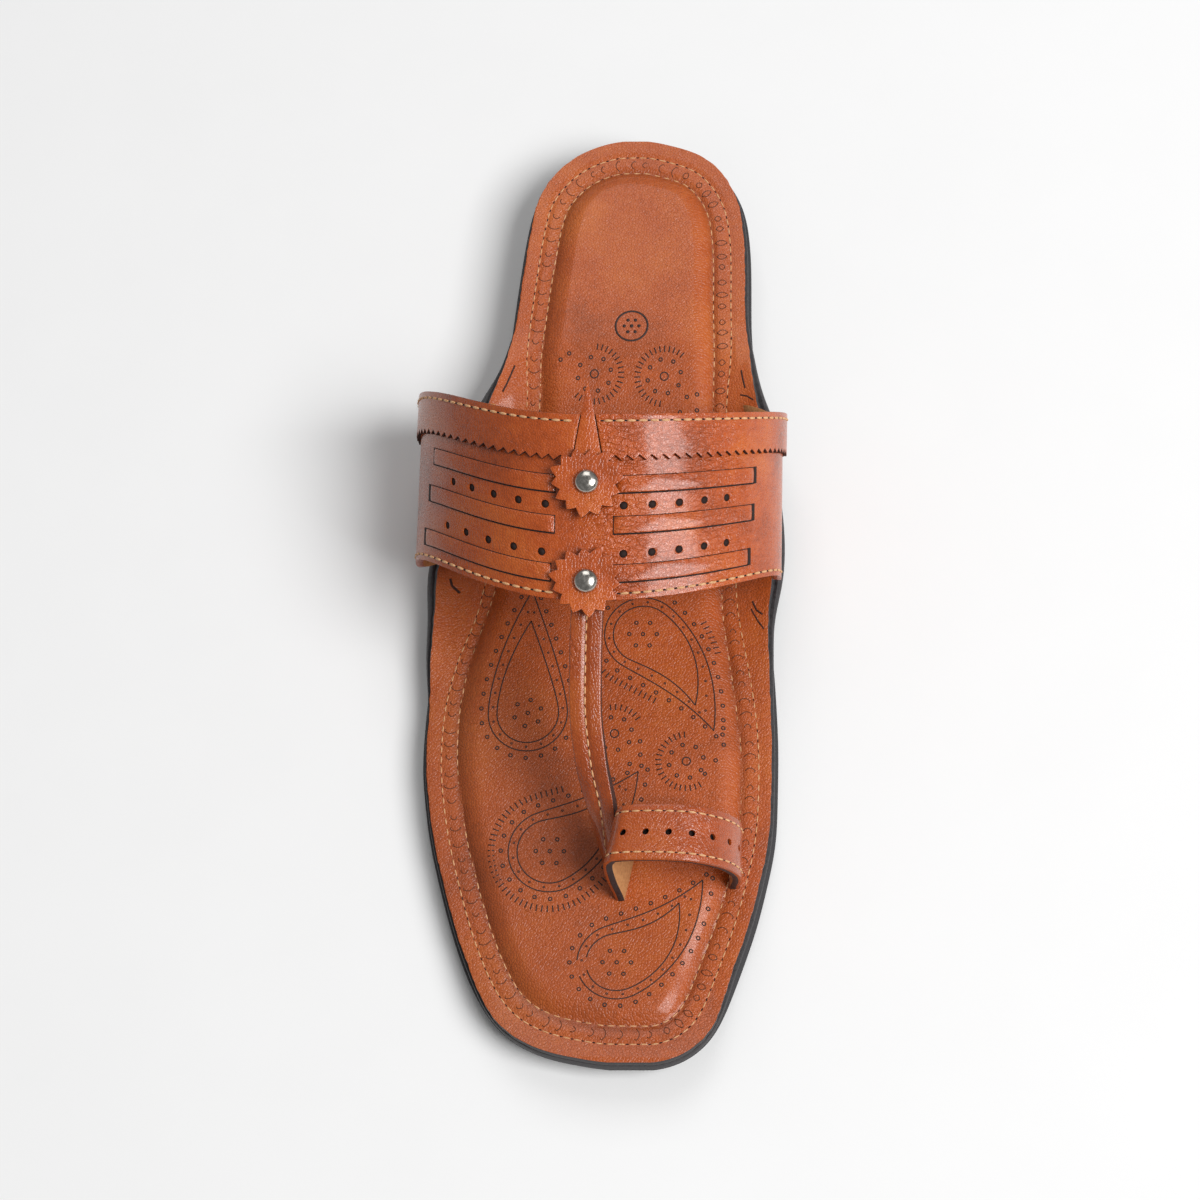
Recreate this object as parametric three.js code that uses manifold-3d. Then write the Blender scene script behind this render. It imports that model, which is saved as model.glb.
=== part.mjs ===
// Kolhapuri sandal for the right foot: a flat leather sandal with an instep band, a centre strap and a toe ring.
// Millimetres, +Z up, toe toward -Y, heel toward +Y, inner side of the foot toward +X.
// Shapes are worked out in last coordinates: x from the sole's axis toward the inner side,
// s from the tip of the toe toward the heel, z from the ground.

import * as THREE from 'three';
import { mergeVertices } from 'three/addons/utils/BufferGeometryUtils.js';
import Module from 'manifold-3d';

const wasm = await Module();
wasm.setup();

// Footbed plan
const LENGTH = 282;
const BALL_WIDTH = 101;
const HEEL_WIDTH = 67;
const EAR_REACH = 8.7;
const EAR_LIFT = 6.5;
const EAR_CURL_WIDTH = 16;

// Sole section
const OUTSOLE_THICKNESS = 4;
const MIDSOLE_THICKNESS = 2.5;
const INSOLE_THICKNESS = 2;
const LAYER_GAP = 0.3;
const MIDSOLE_MARGIN = 0.9;
const OUTSOLE_MARGIN = 2;
const OUTSOLE_BEVEL = 1.2;
const OUTSOLE_GROOVE = 0.6;
const TOE_SPRING = 4;
const TOE_SPRING_LENGTH = 35;
const HEEL_HEIGHT = 9;
const HEEL_LENGTH = 79;
const HEEL_TAPER = 1.5;
const ARCH_FRONT = 0.532 * LENGTH;
const ARCH_REAR = 0.762 * LENGTH;
const PAD_HEIGHT = 2.8;
const PAD_INSET = 10.5;
const PAD_ROLL = 8;

// Instep band
const BAND_THICKNESS = 2.2;
const BAND_HALF_SPAN = 52.9;
const BAND_CENTRE = -8.2;
const BAND_FRONT_CROWN_AT = 0.4248 * LENGTH;
const BAND_REAR_CROWN_AT = 0.6035 * LENGTH;
const BAND_FRONT_CROWN_RISE = 52;
const BAND_REAR_CROWN_RISE = 63;
const BAND_BULGE_RISE = 21;
const BAND_SWEEP_OUTER = 22.3;
const BAND_SWEEP_INNER = 18.2;
const SLIT_INSET = 4.5;
const SLIT_FRONT_AT = 0.53 * LENGTH;
const SLIT_REAR_AT = 0.697 * LENGTH;
const SLIT_CLEARANCE = 0.35;
const STRIP_RAISE = 0.7;
const STRIP_WIDTH = 4.8;
const BAND_HOLE_DIAMETER = 2.2;

// Overlays, spike, stars and rivets
const OVERLAY_THICKNESS = 1.1;
const OVERLAY_FRONT_SHARE = 0.76;
const ZIGZAG_PITCH = 3.6;
const ZIGZAG_DEPTH = 1.6;
const SPIKE_WIDTH = 8.4;
const SPIKE_PAST_EDGE = 10;
const STAR_DIAMETER = 20;
const STAR_THICKNESS = 1;
const STAR_POINTS = 14;
const STAR_TOOTH = 2;
const RIVET_HEAD_DIAMETER = 6.7;
const RIVET_HEAD_HEIGHT = 2.2;
const RIVET_HEAD_EDGE = 0.3;
const RIVET_SHANK_DIAMETER = 2.6;
const RIVET_BACK_THICKNESS = 0.8;
const RIVET_BACK_DIAMETER = 5.7;
const RIVET_CLEARANCE = 0.3;
const REAR_RIVET_SHARE = 0.63;
const FRONT_RIVET_SHARE = 0.1;

// Centre strap and toe ring
const CENTRE_STRAP_WIDTH = 9;
const CENTRE_STRAP_THICKNESS = 2.6;
const RING_WIDTH = 15.5;
const RING_THICKNESS = 2.5;
const RING_SPAN = 34;
const RING_HEIGHT = 27;
const RING_FRONT_AT = 0.163 * LENGTH;
const RING_LEAN = 4.5;
const RING_LEFT = 0.2;
const RING_HOLE_DIAMETER = 1.9;
const RING_HOLE_PITCH = 6.5;
const RING_HOLES = 7;

// Half widths of the footbed without its ears: shares of the length, and of half the local width
const PLAN = [
  { along: 0.0, outer: 0.04, inner: 0.2 },
  { along: 0.0032, outer: 0.16, inner: 0.27 },
  { along: 0.0071, outer: 0.3, inner: 0.34 },
  { along: 0.0174, outer: 0.475, inner: 0.42 },
  { along: 0.0277, outer: 0.577, inner: 0.48 },
  { along: 0.0479, outer: 0.693, inner: 0.54 },
  { along: 0.0887, outer: 0.82, inner: 0.616 },
  { along: 0.17, outer: 0.982, inner: 0.752 },
  { along: 0.252, outer: 1.095, inner: 0.826 },
  { along: 0.32, outer: 1.137, inner: 0.829 },
  { along: 0.4, outer: 1.12, inner: 0.806 },
  { along: 0.507, outer: 1.04, inner: 0.752 },
  { along: 0.585, outer: 0.988, inner: 0.748 },
  { along: 0.674, outer: 1.0, inner: 0.832 },
  { along: 0.768, outer: 1.062, inner: 0.97 },
  { along: 0.862, outer: 1.003, inner: 0.961 },
  { along: 0.908, outer: 0.955, inner: 0.928 },
  { along: 0.935, outer: 0.905, inner: 0.865 },
  { along: 0.957, outer: 0.791, inner: 0.758 },
  { along: 0.982, outer: 0.579, inner: 0.546 },
  { along: 0.9965, outer: 0.301, inner: 0.179 },
  { along: 1.0, outer: 0.15, inner: 0.06 },
];

// How far each ear stands out from the footbed's side: shares of the length and of the ear's reach
const EARS = [
  { along: 0.375, outer: 0.0, inner: 0.0 },
  { along: 0.422, outer: 0.3, inner: 0.12 },
  { along: 0.465, outer: 0.5, inner: 0.3 },
  { along: 0.507, outer: 0.78, inner: 0.7 },
  { along: 0.585, outer: 0.97, inner: 0.95 },
  { along: 0.66, outer: 1.0, inner: 1.0 },
  { along: 0.7, outer: 0.72, inner: 0.6 },
  { along: 0.735, outer: 0.28, inner: 0.25 },
  { along: 0.78, outer: 0.0, inner: 0.0 },
];

// Woven strips: share of the band's width, and the angles over the foot where each side's strip ends
const STRIP_ROWS = [
  { across: 0.14, outerFrom: -66, outerTo: -11, innerFrom: 7, innerTo: 56 },
  { across: 0.4, outerFrom: -63, outerTo: -10, innerFrom: 8, innerTo: 58 },
  { across: 0.62, outerFrom: -61, outerTo: -10, innerFrom: 9, innerTo: 59 },
];

// Rows of holes between the strips: share of the band's width, first angle and step on each side
const HOLE_ROWS = [
  { across: 0.245, outerFirst: -14, outerStep: -9.3, innerFirst: 11, innerStep: 8.8 },
  { across: 0.505, outerFirst: -13, outerStep: -8.9, innerFirst: 11, innerStep: 8.8 },
];
const HOLES_IN_ROW = 5;

// Centre strap, from under the band to the foot of the toe ring: shares of the length, of half the ball
// width and of the band's front height above the seat, and the strap's twist in degrees
const CENTRE_STRAP = [
  { along: 0.468, across: -0.162, up: 1.015, twist: 0 },
  { along: 0.425, across: -0.16, up: 0.955, twist: 0 },
  { along: 0.39, across: -0.168, up: 0.87, twist: 0 },
  { along: 0.335, across: -0.172, up: 0.745, twist: 2 },
  { along: 0.28, across: -0.14, up: 0.595, twist: 10 },
  { along: 0.24, across: -0.085, up: 0.45, twist: 28 },
  { along: 0.214, across: -0.06, up: 0.34, twist: 50 },
  { along: 0.194, across: -0.046, up: 0.25, twist: 66 },
  { along: 0.182, across: -0.038, up: 0.19, twist: 76 },
];

// Middle line of the toe ring seen from the front: shares of its span and of its height
const RING = [
  { across: 0.0, up: -0.2 },
  { across: -0.01, up: 0.1 },
  { across: -0.045, up: 0.45 },
  { across: -0.06, up: 0.8 },
  { across: -0.035, up: 0.92 },
  { across: 0.03, up: 0.975 },
  { across: 0.28, up: 1.0 },
  { across: 0.56, up: 0.97 },
  { across: 0.74, up: 0.85 },
  { across: 0.88, up: 0.66 },
  { across: 0.955, up: 0.42 },
  { across: 0.965, up: 0.2 },
  { across: 0.94, up: 0.0 },
  { across: 0.93, up: -0.2 },
];

// Side of the outsole from the ground up: share of its thickness and how far the side stands in
const OUTSOLE_SIDE = [
  { up: 0.0, inset: OUTSOLE_BEVEL },
  { up: 0.3, inset: 0 },
  { up: 0.52, inset: 0 },
  { up: 0.6, inset: OUTSOLE_GROOVE },
  { up: 0.74, inset: OUTSOLE_GROOVE },
  { up: 0.82, inset: 0 },
  { up: 1.0, inset: 0.1 },
];

const clamp = (value, low, high) => Math.min(high, Math.max(low, value));
const mix = (a, b, t) => a + (b - a) * t;
const radians = (degrees) => degrees * Math.PI / 180;

function smooth(low, high, value) {
  const t = clamp((value - low) / (high - low), 0, 1);
  return t * t * (3 - 2 * t);
}

// Reads a column of a table with a smooth curve through its rows, level where the column turns
function readTable(table, key, column, at) {
  const last = table.length - 1;
  if (at <= table[0][key]) return table[0][column];
  if (at >= table[last][key]) return table[last][column];
  let i = 0;
  while (at > table[i + 1][key]) i += 1;
  const slope = (k) => {
    const run = table[k + 1][key] - table[k][key];
    return (table[k + 1][column] - table[k][column]) / run;
  };
  const tangent = (k) => {
    if (k === 0) return slope(0);
    if (k === last) return slope(last - 1);
    const before = slope(k - 1);
    const after = slope(k);
    return before * after <= 0 ? 0 : (2 * before * after) / (before + after);
  };
  const run = table[i + 1][key] - table[i][key];
  const t = (at - table[i][key]) / run;
  const bend = t * (1 - t) * run;
  const line = mix(table[i][column], table[i + 1][column], t * t * (3 - 2 * t));
  return line + bend * ((1 - t) * tangent(i) - t * tangent(i + 1));
}

// The plan is read against the angle of a half circle, so that both ends of the footbed are round
const turnOf = (along) => Math.acos(clamp(1 - 2 * along, -1, 1));
const PLAN_BY_TURN = PLAN.map((row) => ({ ...row, turn: turnOf(row.along) }));

function localWidth(s) {
  return mix(BALL_WIDTH, HEEL_WIDTH, smooth(0.5, 0.8, s / LENGTH)) / 2;
}

function bareHalfWidth(s, side) {
  return readTable(PLAN_BY_TURN, 'turn', side, turnOf(s / LENGTH)) * localWidth(s);
}

function earShare(s, side) {
  return readTable(EARS, 'along', side, s / LENGTH);
}

function earedHalfWidth(s, side) {
  return bareHalfWidth(s, side) + EAR_REACH * earShare(s, side);
}

function toeSpring(s) {
  return TOE_SPRING * Math.max(0, 1 - s / TOE_SPRING_LENGTH) ** 2;
}

function heelRise(s) {
  return HEEL_HEIGHT * smooth(ARCH_FRONT, ARCH_REAR, s);
}

// Height of the outsole's top face
function seat(s) {
  return OUTSOLE_THICKNESS + toeSpring(s) + heelRise(s);
}

// The ears curl up from a line inside the edge
function earCurl(x, s) {
  const side = x < 0 ? 'outer' : 'inner';
  const inside = earedHalfWidth(s, side) - Math.abs(x);
  return EAR_LIFT * earShare(s, side) * Math.max(0, 1 - inside / EAR_CURL_WIDTH) ** 2;
}

function flatBed(x, s) {
  return new THREE.Vector3(x, s, seat(s));
}

function earedBed(x, s) {
  return new THREE.Vector3(x, s, seat(s) + earCurl(x, s));
}

// A point at a height over a surface, measured square to it
function standOff(surface, a, b, height, stepA = 0.05, stepB = 0.05) {
  const origin = surface(a, b);
  const alongA = surface(a + stepA, b).sub(surface(a - stepA, b));
  const alongB = surface(a, b + stepB).sub(surface(a, b - stepB));
  const normal = alongA.cross(alongB).normalize();
  return origin.addScaledVector(normal, height);
}

// Closed solid from its vertices and triangles, turned so that its faces point out
function solidFrom(points, faces) {
  let volume = 0;
  for (const [a, b, c] of faces) {
    volume += points[a].dot(points[b].clone().cross(points[c]));
  }
  const triangles = volume < 0 ? faces.map(([a, b, c]) => [a, c, b]) : faces;
  const vertProperties = new Float32Array(points.length * 3);
  points.forEach((point, i) => point.toArray(vertProperties, 3 * i));
  const mesh = new wasm.Mesh({ numProp: 3, vertProperties, triVerts: new Uint32Array(triangles.flat()) });
  mesh.merge();
  return new wasm.Manifold(mesh);
}

function solidFromGeometry(geometry) {
  const bare = geometry.clone();
  bare.deleteAttribute('normal');
  bare.deleteAttribute('uv');
  const merged = mergeVertices(bare, 1e-4);
  return new wasm.Manifold(new wasm.Mesh({
    numProp: 3,
    vertProperties: new Float32Array(merged.attributes.position.array),
    triVerts: new Uint32Array(merged.index.array),
  }));
}

// Indices of a grid's border, in order round it
function borderOf(rows, columns) {
  const border = [];
  for (let j = 0; j < columns; j += 1) border.push([0, j]);
  for (let i = 0; i < rows; i += 1) border.push([i, columns]);
  for (let j = columns; j > 0; j -= 1) border.push([rows, j]);
  for (let i = rows; i > 0; i -= 1) border.push([i, 0]);
  return border;
}

// Solid between a lower and an upper grid of points, with any loops of side points between their borders
function slab(lower, upper, sideLoops = []) {
  const rows = lower.length - 1;
  const columns = lower[0].length - 1;
  const points = [];
  const faces = [];
  const place = (grid) => grid.map((row) => row.map((point) => points.push(point) - 1));
  const low = place(lower);
  const high = place(upper);
  for (let i = 0; i < rows; i += 1) {
    for (let j = 0; j < columns; j += 1) {
      faces.push([low[i][j], low[i][j + 1], low[i + 1][j + 1]], [low[i][j], low[i + 1][j + 1], low[i + 1][j]]);
      faces.push([high[i][j], high[i + 1][j + 1], high[i][j + 1]], [high[i][j], high[i + 1][j], high[i + 1][j + 1]]);
    }
  }
  const border = borderOf(rows, columns);
  const loops = [
    border.map(([i, j]) => low[i][j]),
    ...sideLoops.map((loop) => loop.map((point) => points.push(point) - 1)),
    border.map(([i, j]) => high[i][j]),
  ];
  for (let level = 0; level + 1 < loops.length; level += 1) {
    const from = loops[level];
    const to = loops[level + 1];
    for (let k = 0; k < from.length; k += 1) {
      const next = (k + 1) % from.length;
      faces.push([from[k], to[k], to[next]], [from[k], to[next], from[next]]);
    }
  }
  return solidFrom(points, faces);
}

// Plan points of the sole in rows across it, moved out square to the outline by an offset
function planGrid(halfWidth, offset, rowPlaces, shares) {
  const grid = rowPlaces.map((s) => shares.map((share) => {
    const x = mix(-halfWidth(s, 'outer'), halfWidth(s, 'inner'), share);
    return new THREE.Vector2(x, s);
  }));
  const rows = grid.length - 1;
  const columns = shares.length - 1;
  const border = borderOf(rows, columns);
  const rim = border.map(([i, j]) => grid[i][j].clone());
  border.forEach(([i, j], k) => {
    const before = rim[(k + rim.length - 1) % rim.length];
    const after = rim[(k + 1) % rim.length];
    const out = new THREE.Vector2(after.y - before.y, before.x - after.x).normalize();
    grid[i][j] = rim[k].clone().addScaledVector(out, offset);
  });
  for (let i = 1; i < rows; i += 1) {
    for (let j = 1; j < columns; j += 1) {
      grid[i][j] = grid[i][0].clone().lerp(grid[i][columns], shares[j]);
    }
  }
  return grid;
}

// Places of the rows along the sole, closer together toward both ends
function rowPlaces(from, to, count) {
  const places = [];
  for (let i = 0; i <= count; i += 1) {
    places.push(mix(from, to, (1 - Math.cos(Math.PI * i / count)) / 2));
  }
  return places;
}

const evenShares = (count) => Array.from({ length: count + 1 }, (_, j) => j / count);
const SOLE_ROWS = 34;
const SOLE_PLACES = rowPlaces(0, LENGTH, SOLE_ROWS);

// Shares across the sole where its layers have their facets
const PAD_SHARES = [0, 0.06, 0.12, 0.16, 0.23, 0.35, 0.5, 0.65, 0.77, 0.84, 0.88, 0.94, 1];
const EAR_SHARES = [0, 0.06, 0.12, 0.16, 0.5, 0.84, 0.88, 0.94, 1];

const liftGrid = (plan, place) => plan.map((row) => row.map((point) => place(point)));

// Distance inside the footbed's own outline, ears left aside
const OUTLINE = (() => {
  const grid = planGrid(bareHalfWidth, 0, SOLE_PLACES, [0, 0.5, 1]);
  return borderOf(SOLE_ROWS, 2).map(([i, j]) => grid[i][j]);
})();

function insideOutline(x, s) {
  const at = new THREE.Vector2(x, s);
  let nearest = Infinity;
  OUTLINE.forEach((start, k) => {
    const run = OUTLINE[(k + 1) % OUTLINE.length].clone().sub(start);
    const t = clamp(at.clone().sub(start).dot(run) / Math.max(run.lengthSq(), 1e-9), 0, 1);
    nearest = Math.min(nearest, at.distanceTo(start.clone().addScaledVector(run, t)));
  });
  const inner = Math.abs(x) < bareHalfWidth(s, x < 0 ? 'outer' : 'inner');
  return inner ? nearest : -nearest;
}

function padHeight(x, s) {
  const share = clamp((insideOutline(x, s) - PAD_INSET) / PAD_ROLL, 0, 1);
  return PAD_HEIGHT * Math.sin(share * Math.PI / 2);
}

const MIDSOLE_LOW = LAYER_GAP;
const MIDSOLE_HIGH = MIDSOLE_LOW + MIDSOLE_THICKNESS;
const INSOLE_LOW = MIDSOLE_HIGH + LAYER_GAP;
const INSOLE_HIGH = INSOLE_LOW + INSOLE_THICKNESS;

const OUTSOLE_COLUMNS = 4;

function outsole() {
  const shares = evenShares(OUTSOLE_COLUMNS);
  const level = ({ up, inset }) => liftGrid(
    planGrid(bareHalfWidth, OUTSOLE_MARGIN - inset, SOLE_PLACES, shares),
    (point) => flatBed(point.x, clamp(point.y, 0, LENGTH)).setY(point.y)
      .add(new THREE.Vector3(0, 0, (up - 1) * OUTSOLE_THICKNESS)),
  );
  const grids = OUTSOLE_SIDE.map(level);
  const border = borderOf(SOLE_ROWS, OUTSOLE_COLUMNS);
  const loops = grids.slice(1, -1).map((grid) => border.map(([i, j]) => grid[i][j]));
  return slab(grids[0], grids[grids.length - 1], loops);
}

function heel() {
  const places = rowPlaces(LENGTH - HEEL_LENGTH, LENGTH, 30).filter((s, i) => i === 0 || i > 7);
  const shares = evenShares(4);
  const level = (inset, height) => liftGrid(
    planGrid(bareHalfWidth, OUTSOLE_MARGIN - OUTSOLE_BEVEL - inset, places, shares),
    (point) => new THREE.Vector3(point.x, point.y, height(clamp(point.y, 0, LENGTH))),
  );
  const top = level(0, (s) => seat(s) - OUTSOLE_THICKNESS - LAYER_GAP);
  const bottom = level(HEEL_TAPER, () => 0);
  return slab(bottom, top);
}

// A layer of the eared footbed between two heights over its bed
function bedLayer(margin, low, high, shares) {
  const plan = planGrid(earedHalfWidth, margin, SOLE_PLACES, shares);
  const at = (height) => liftGrid(plan, (point) => {
    const s = clamp(point.y, 0, LENGTH);
    return standOff(earedBed, point.x, s, height(point.x, s)).add(new THREE.Vector3(0, point.y - s, 0));
  });
  return slab(at(low), at(high));
}

function midsole() {
  const layer = bedLayer(MIDSOLE_MARGIN, () => MIDSOLE_LOW, () => MIDSOLE_HIGH, EAR_SHARES);
  return layer.subtract(strapSlots());
}

function insole() {
  const top = (x, s) => INSOLE_HIGH + padHeight(x, s);
  return bedLayer(0, () => INSOLE_LOW, top, PAD_SHARES).subtract(strapSlots());
}

// Band edge over the foot: turn 0 at the crown, -90 and 90 degrees at the outer and inner bulge
const BAND_EDGES = {
  front: { crownAt: BAND_FRONT_CROWN_AT, crownRise: BAND_FRONT_CROWN_RISE, outerPower: 2.1, innerPower: 1.6 },
  rear: { crownAt: BAND_REAR_CROWN_AT, crownRise: BAND_REAR_CROWN_RISE, outerPower: 1.9, innerPower: 1.1 },
};

function bandEdge(edge, turn) {
  const sweep = turn < 0 ? BAND_SWEEP_OUTER : BAND_SWEEP_INNER;
  const power = turn < 0 ? edge.outerPower : edge.innerPower;
  const height = Math.max(Math.cos(turn), 0);
  const s = edge.crownAt + sweep * (1 - height ** power);
  const base = seat(edge.crownAt) + BAND_BULGE_RISE;
  const crown = seat(edge.crownAt) + edge.crownRise;
  return new THREE.Vector3(BAND_CENTRE + BAND_HALF_SPAN * Math.sin(turn), s, mix(base, crown, height));
}

// Where the band goes through the footbed, at the middle of the midsole
function bandFoot(side, across) {
  const s = mix(SLIT_FRONT_AT, SLIT_REAR_AT, across);
  const name = side < 0 ? 'outer' : 'inner';
  const x = side * (earedHalfWidth(s, name) - SLIT_INSET);
  return standOff(earedBed, x, s, (MIDSOLE_LOW + MIDSOLE_HIGH) / 2);
}

// The band's outer face: run from -1 to 1 over the foot, across from 0 at the front edge to 1 at the rear
const ARCH_SHARE = 0.8;

function bandFace(run, across) {
  const arch = Math.abs(run) <= ARCH_SHARE;
  const turn = clamp(run / ARCH_SHARE, -1, 1) * Math.PI / 2;
  const top = bandEdge(BAND_EDGES.front, turn).lerp(bandEdge(BAND_EDGES.rear, turn), across);
  if (arch) return top;
  const side = Math.sign(run);
  const t = (Math.abs(run) - ARCH_SHARE) / (1 - ARCH_SHARE);
  const foot = bandFoot(side, clamp(across, -0.05, 1.05));
  const drop = top.z - foot.z;
  const curve = new THREE.CubicBezierCurve3(
    top,
    top.clone().add(new THREE.Vector3(0, 0, -0.45 * drop)),
    foot.clone().add(new THREE.Vector3(0, 0, 0.4 * drop)),
    foot,
  );
  return curve.getPoint(clamp(t, 0, 1)).add(new THREE.Vector3(0, 0, Math.min(0, 1 - t) * drop));
}

const runOf = (degrees) => degrees / 90 * ARCH_SHARE;
const onBand = (run, across, height) => standOff(bandFace, run, across, height, 0.002, 0.01);
const BAND_WIDTH = onBand(0, 0, 0).distanceTo(onBand(0, 1, 0));
const CROWN_LENGTH_PER_RUN = onBand(-0.05, 0.5, 0).distanceTo(onBand(0.05, 0.5, 0)) / 0.1;

// Sheet of leather on the band between two heights, from rows of places along its run
function bandSheet(rows, low, high) {
  const grid = (height) => rows.map((row) => row.map(([run, across]) => onBand(run, across, height(run, across))));
  return slab(grid(low), grid(high));
}

// Places along the band's run where its wall and its slits have their facets
const ARCH_STEPS = 26;
const FOOT_STEPS = 5;
const FOOT_RUNS = evenShares(FOOT_STEPS).slice(1).map((t) => mix(ARCH_SHARE, 1, t));
const ACROSS_STEPS = 5;

function placesOnBand(runs, acrosses) {
  return runs.map((run) => acrosses.map((across) => [run, across]));
}

function bandRows(from, to, steps, acrossFrom, acrossTo, acrossSteps) {
  return evenShares(steps).map((t) => evenShares(acrossSteps)
    .map((w) => [mix(from, to, t), mix(acrossFrom, acrossTo, w)]));
}

// Slits go through the footbed past the band's own ends
const SLOT_END_SHARE = 1.15;

// Both ends of the band, swollen by the clearance, which cut its slits through the footbed
function strapSlots() {
  const swell = SLIT_CLEARANCE / BAND_WIDTH;
  const acrosses = [-swell, ...evenShares(ACROSS_STEPS), 1 + swell];
  const slots = [-1, 1].map((side) => bandSheet(
    placesOnBand([...FOOT_RUNS, SLOT_END_SHARE].map((run) => side * run), acrosses),
    () => -BAND_THICKNESS - SLIT_CLEARANCE,
    () => SLIT_CLEARANCE,
  ));
  return slots[0].add(slots[1]).add(ringSlots());
}

// A rod between two points, turned a little so that its facets lie clear of the leather's own
const ROD_TURN = 0.35;

function rod(from, to, diameter, sides) {
  const geometry = new THREE.CylinderGeometry(diameter / 2, diameter / 2, from.distanceTo(to), sides);
  geometry.rotateY(ROD_TURN);
  const ahead = to.clone().sub(from).normalize();
  geometry.applyQuaternion(new THREE.Quaternion().setFromUnitVectors(new THREE.Vector3(0, 1, 0), ahead));
  geometry.translate(...from.clone().add(to).multiplyScalar(0.5).toArray());
  return solidFromGeometry(geometry);
}

// A rod square to the band, for holes and rivets
function bandDrill(run, across, diameter, low, high, sides = 10) {
  return rod(onBand(run, across, low), onBand(run, across, high), diameter, sides);
}

const STACK = 12;
const HOLE_SIDES = 6;

const STRIP_STEPS = 6;

function wovenStrips() {
  const half = STRIP_WIDTH / BAND_WIDTH / 2;
  const strip = (across, from, to) => bandSheet(
    bandRows(runOf(from), runOf(to), STRIP_STEPS, across - half, across + half, 1),
    () => -BAND_THICKNESS / 2,
    () => STRIP_RAISE,
  );
  return STRIP_ROWS.flatMap((row) => [
    strip(row.across, row.outerFrom, row.outerTo),
    strip(row.across, row.innerFrom, row.innerTo),
  ]);
}

function bandHoles() {
  const drills = [];
  for (const row of HOLE_ROWS) {
    for (let k = 0; k < HOLES_IN_ROW; k += 1) {
      for (const degrees of [row.outerFirst + k * row.outerStep, row.innerFirst + k * row.innerStep]) {
        drills.push(bandDrill(runOf(degrees), row.across, BAND_HOLE_DIAMETER, -STACK, STACK, HOLE_SIDES));
      }
    }
  }
  return drills;
}

function band() {
  const arch = evenShares(ARCH_STEPS).map((t) => mix(-ARCH_SHARE, ARCH_SHARE, t));
  const runs = [...FOOT_RUNS.map((run) => -run).reverse(), ...arch, ...FOOT_RUNS];
  let wall = bandSheet(placesOnBand(runs, evenShares(ACROSS_STEPS)), () => -BAND_THICKNESS, () => 0);
  for (const strip of wovenStrips()) wall = wall.add(strip);
  for (const hole of bandHoles()) wall = wall.subtract(hole);
  return wall;
}

const CENTRE_STRAP_STEPS = 20;

// Centre strap: a flat strap along a smooth path, turned on edge toward the ring
function centreStrap() {
  const path = new THREE.CatmullRomCurve3(CENTRE_STRAP.map(({ along, across, up }) => {
    const s = along * LENGTH;
    const bed = seat(s) + INSOLE_HIGH;
    const height = BAND_FRONT_CROWN_RISE - INSOLE_HIGH;
    return new THREE.Vector3(across * BALL_WIDTH / 2, s, bed + up * height);
  }));
  const last = CENTRE_STRAP.length - 1;
  const section = (t) => {
    const centre = path.getPoint(t);
    const ahead = path.getTangent(t);
    const row = Math.min(Math.floor(t * last), last - 1);
    const twist = radians(mix(CENTRE_STRAP[row].twist, CENTRE_STRAP[row + 1].twist, t * last - row));
    const level = new THREE.Vector3(1, 0, 0).addScaledVector(ahead, -ahead.x).normalize();
    const wide = level.applyAxisAngle(ahead, twist);
    const thick = new THREE.Vector3().crossVectors(ahead, wide).normalize();
    return { centre, wide, thick };
  };
  const grid = (side) => evenShares(CENTRE_STRAP_STEPS).map((t) => {
    const { centre, wide, thick } = section(t);
    return [-0.5, 0.5].map((w) => centre.clone()
      .addScaledVector(wide, w * CENTRE_STRAP_WIDTH)
      .addScaledVector(thick, side * CENTRE_STRAP_THICKNESS / 2));
  });
  return slab(grid(-1), grid(1));
}

const RING_BED = seat(RING_FRONT_AT + RING_WIDTH / 2) + INSOLE_HIGH + PAD_HEIGHT;

// Middle line of the ring wall, and a point at a height over it
function ringLine(t) {
  const points = RING.map(({ across, up }) => new THREE.Vector2(
    RING_LEFT + across * RING_SPAN,
    RING_BED + up * RING_HEIGHT,
  ));
  const curve = new THREE.SplineCurve(points);
  return { at: curve.getPoint(t), ahead: curve.getTangent(t) };
}

function onRing(t, width, height) {
  const { at, ahead } = ringLine(clamp(t, 0, 1));
  const x = at.x - ahead.y * height;
  const z = at.y + ahead.x * height;
  const share = (at.y - RING_BED) / RING_HEIGHT;
  const lean = RING_LEAN * mix(share, 1, smooth(0.3, 0.7, t));
  return new THREE.Vector3(x, RING_FRONT_AT + lean + width * RING_WIDTH, z);
}

const RING_PLACES = evenShares(36);

// Parts of the ring's line that pass through the footbed
const RING_LATERAL_FOOT_SHARE = 0.16;
const RING_MEDIAL_FOOT_SHARE = 0.86;

function ringSheet(places, widths, half) {
  const grid = (height) => places.map((t) => widths.map((width) => onRing(t, width, height)));
  return slab(grid(-half), grid(half));
}

function ringSlots() {
  const half = RING_THICKNESS / 2 + SLIT_CLEARANCE;
  const swell = SLIT_CLEARANCE / RING_WIDTH;
  const widths = [-swell, 1 + swell];
  const lateral = RING_PLACES.filter((t) => t < RING_LATERAL_FOOT_SHARE);
  const medial = RING_PLACES.filter((t) => t > RING_MEDIAL_FOOT_SHARE);
  return ringSheet(lateral, widths, half).add(ringSheet(medial, widths, half));
}

// The row of holes is measured along the ring from its outer corner, with a lead before the first pitch
const RING_HOLES_FROM_SHARE = 0.37;
const RING_HOLES_TO_SHARE = 0.9;
const RING_HOLES_LEAD_SHARE = 0.25;
const RING_HOLE_SAMPLES = 400;

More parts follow.
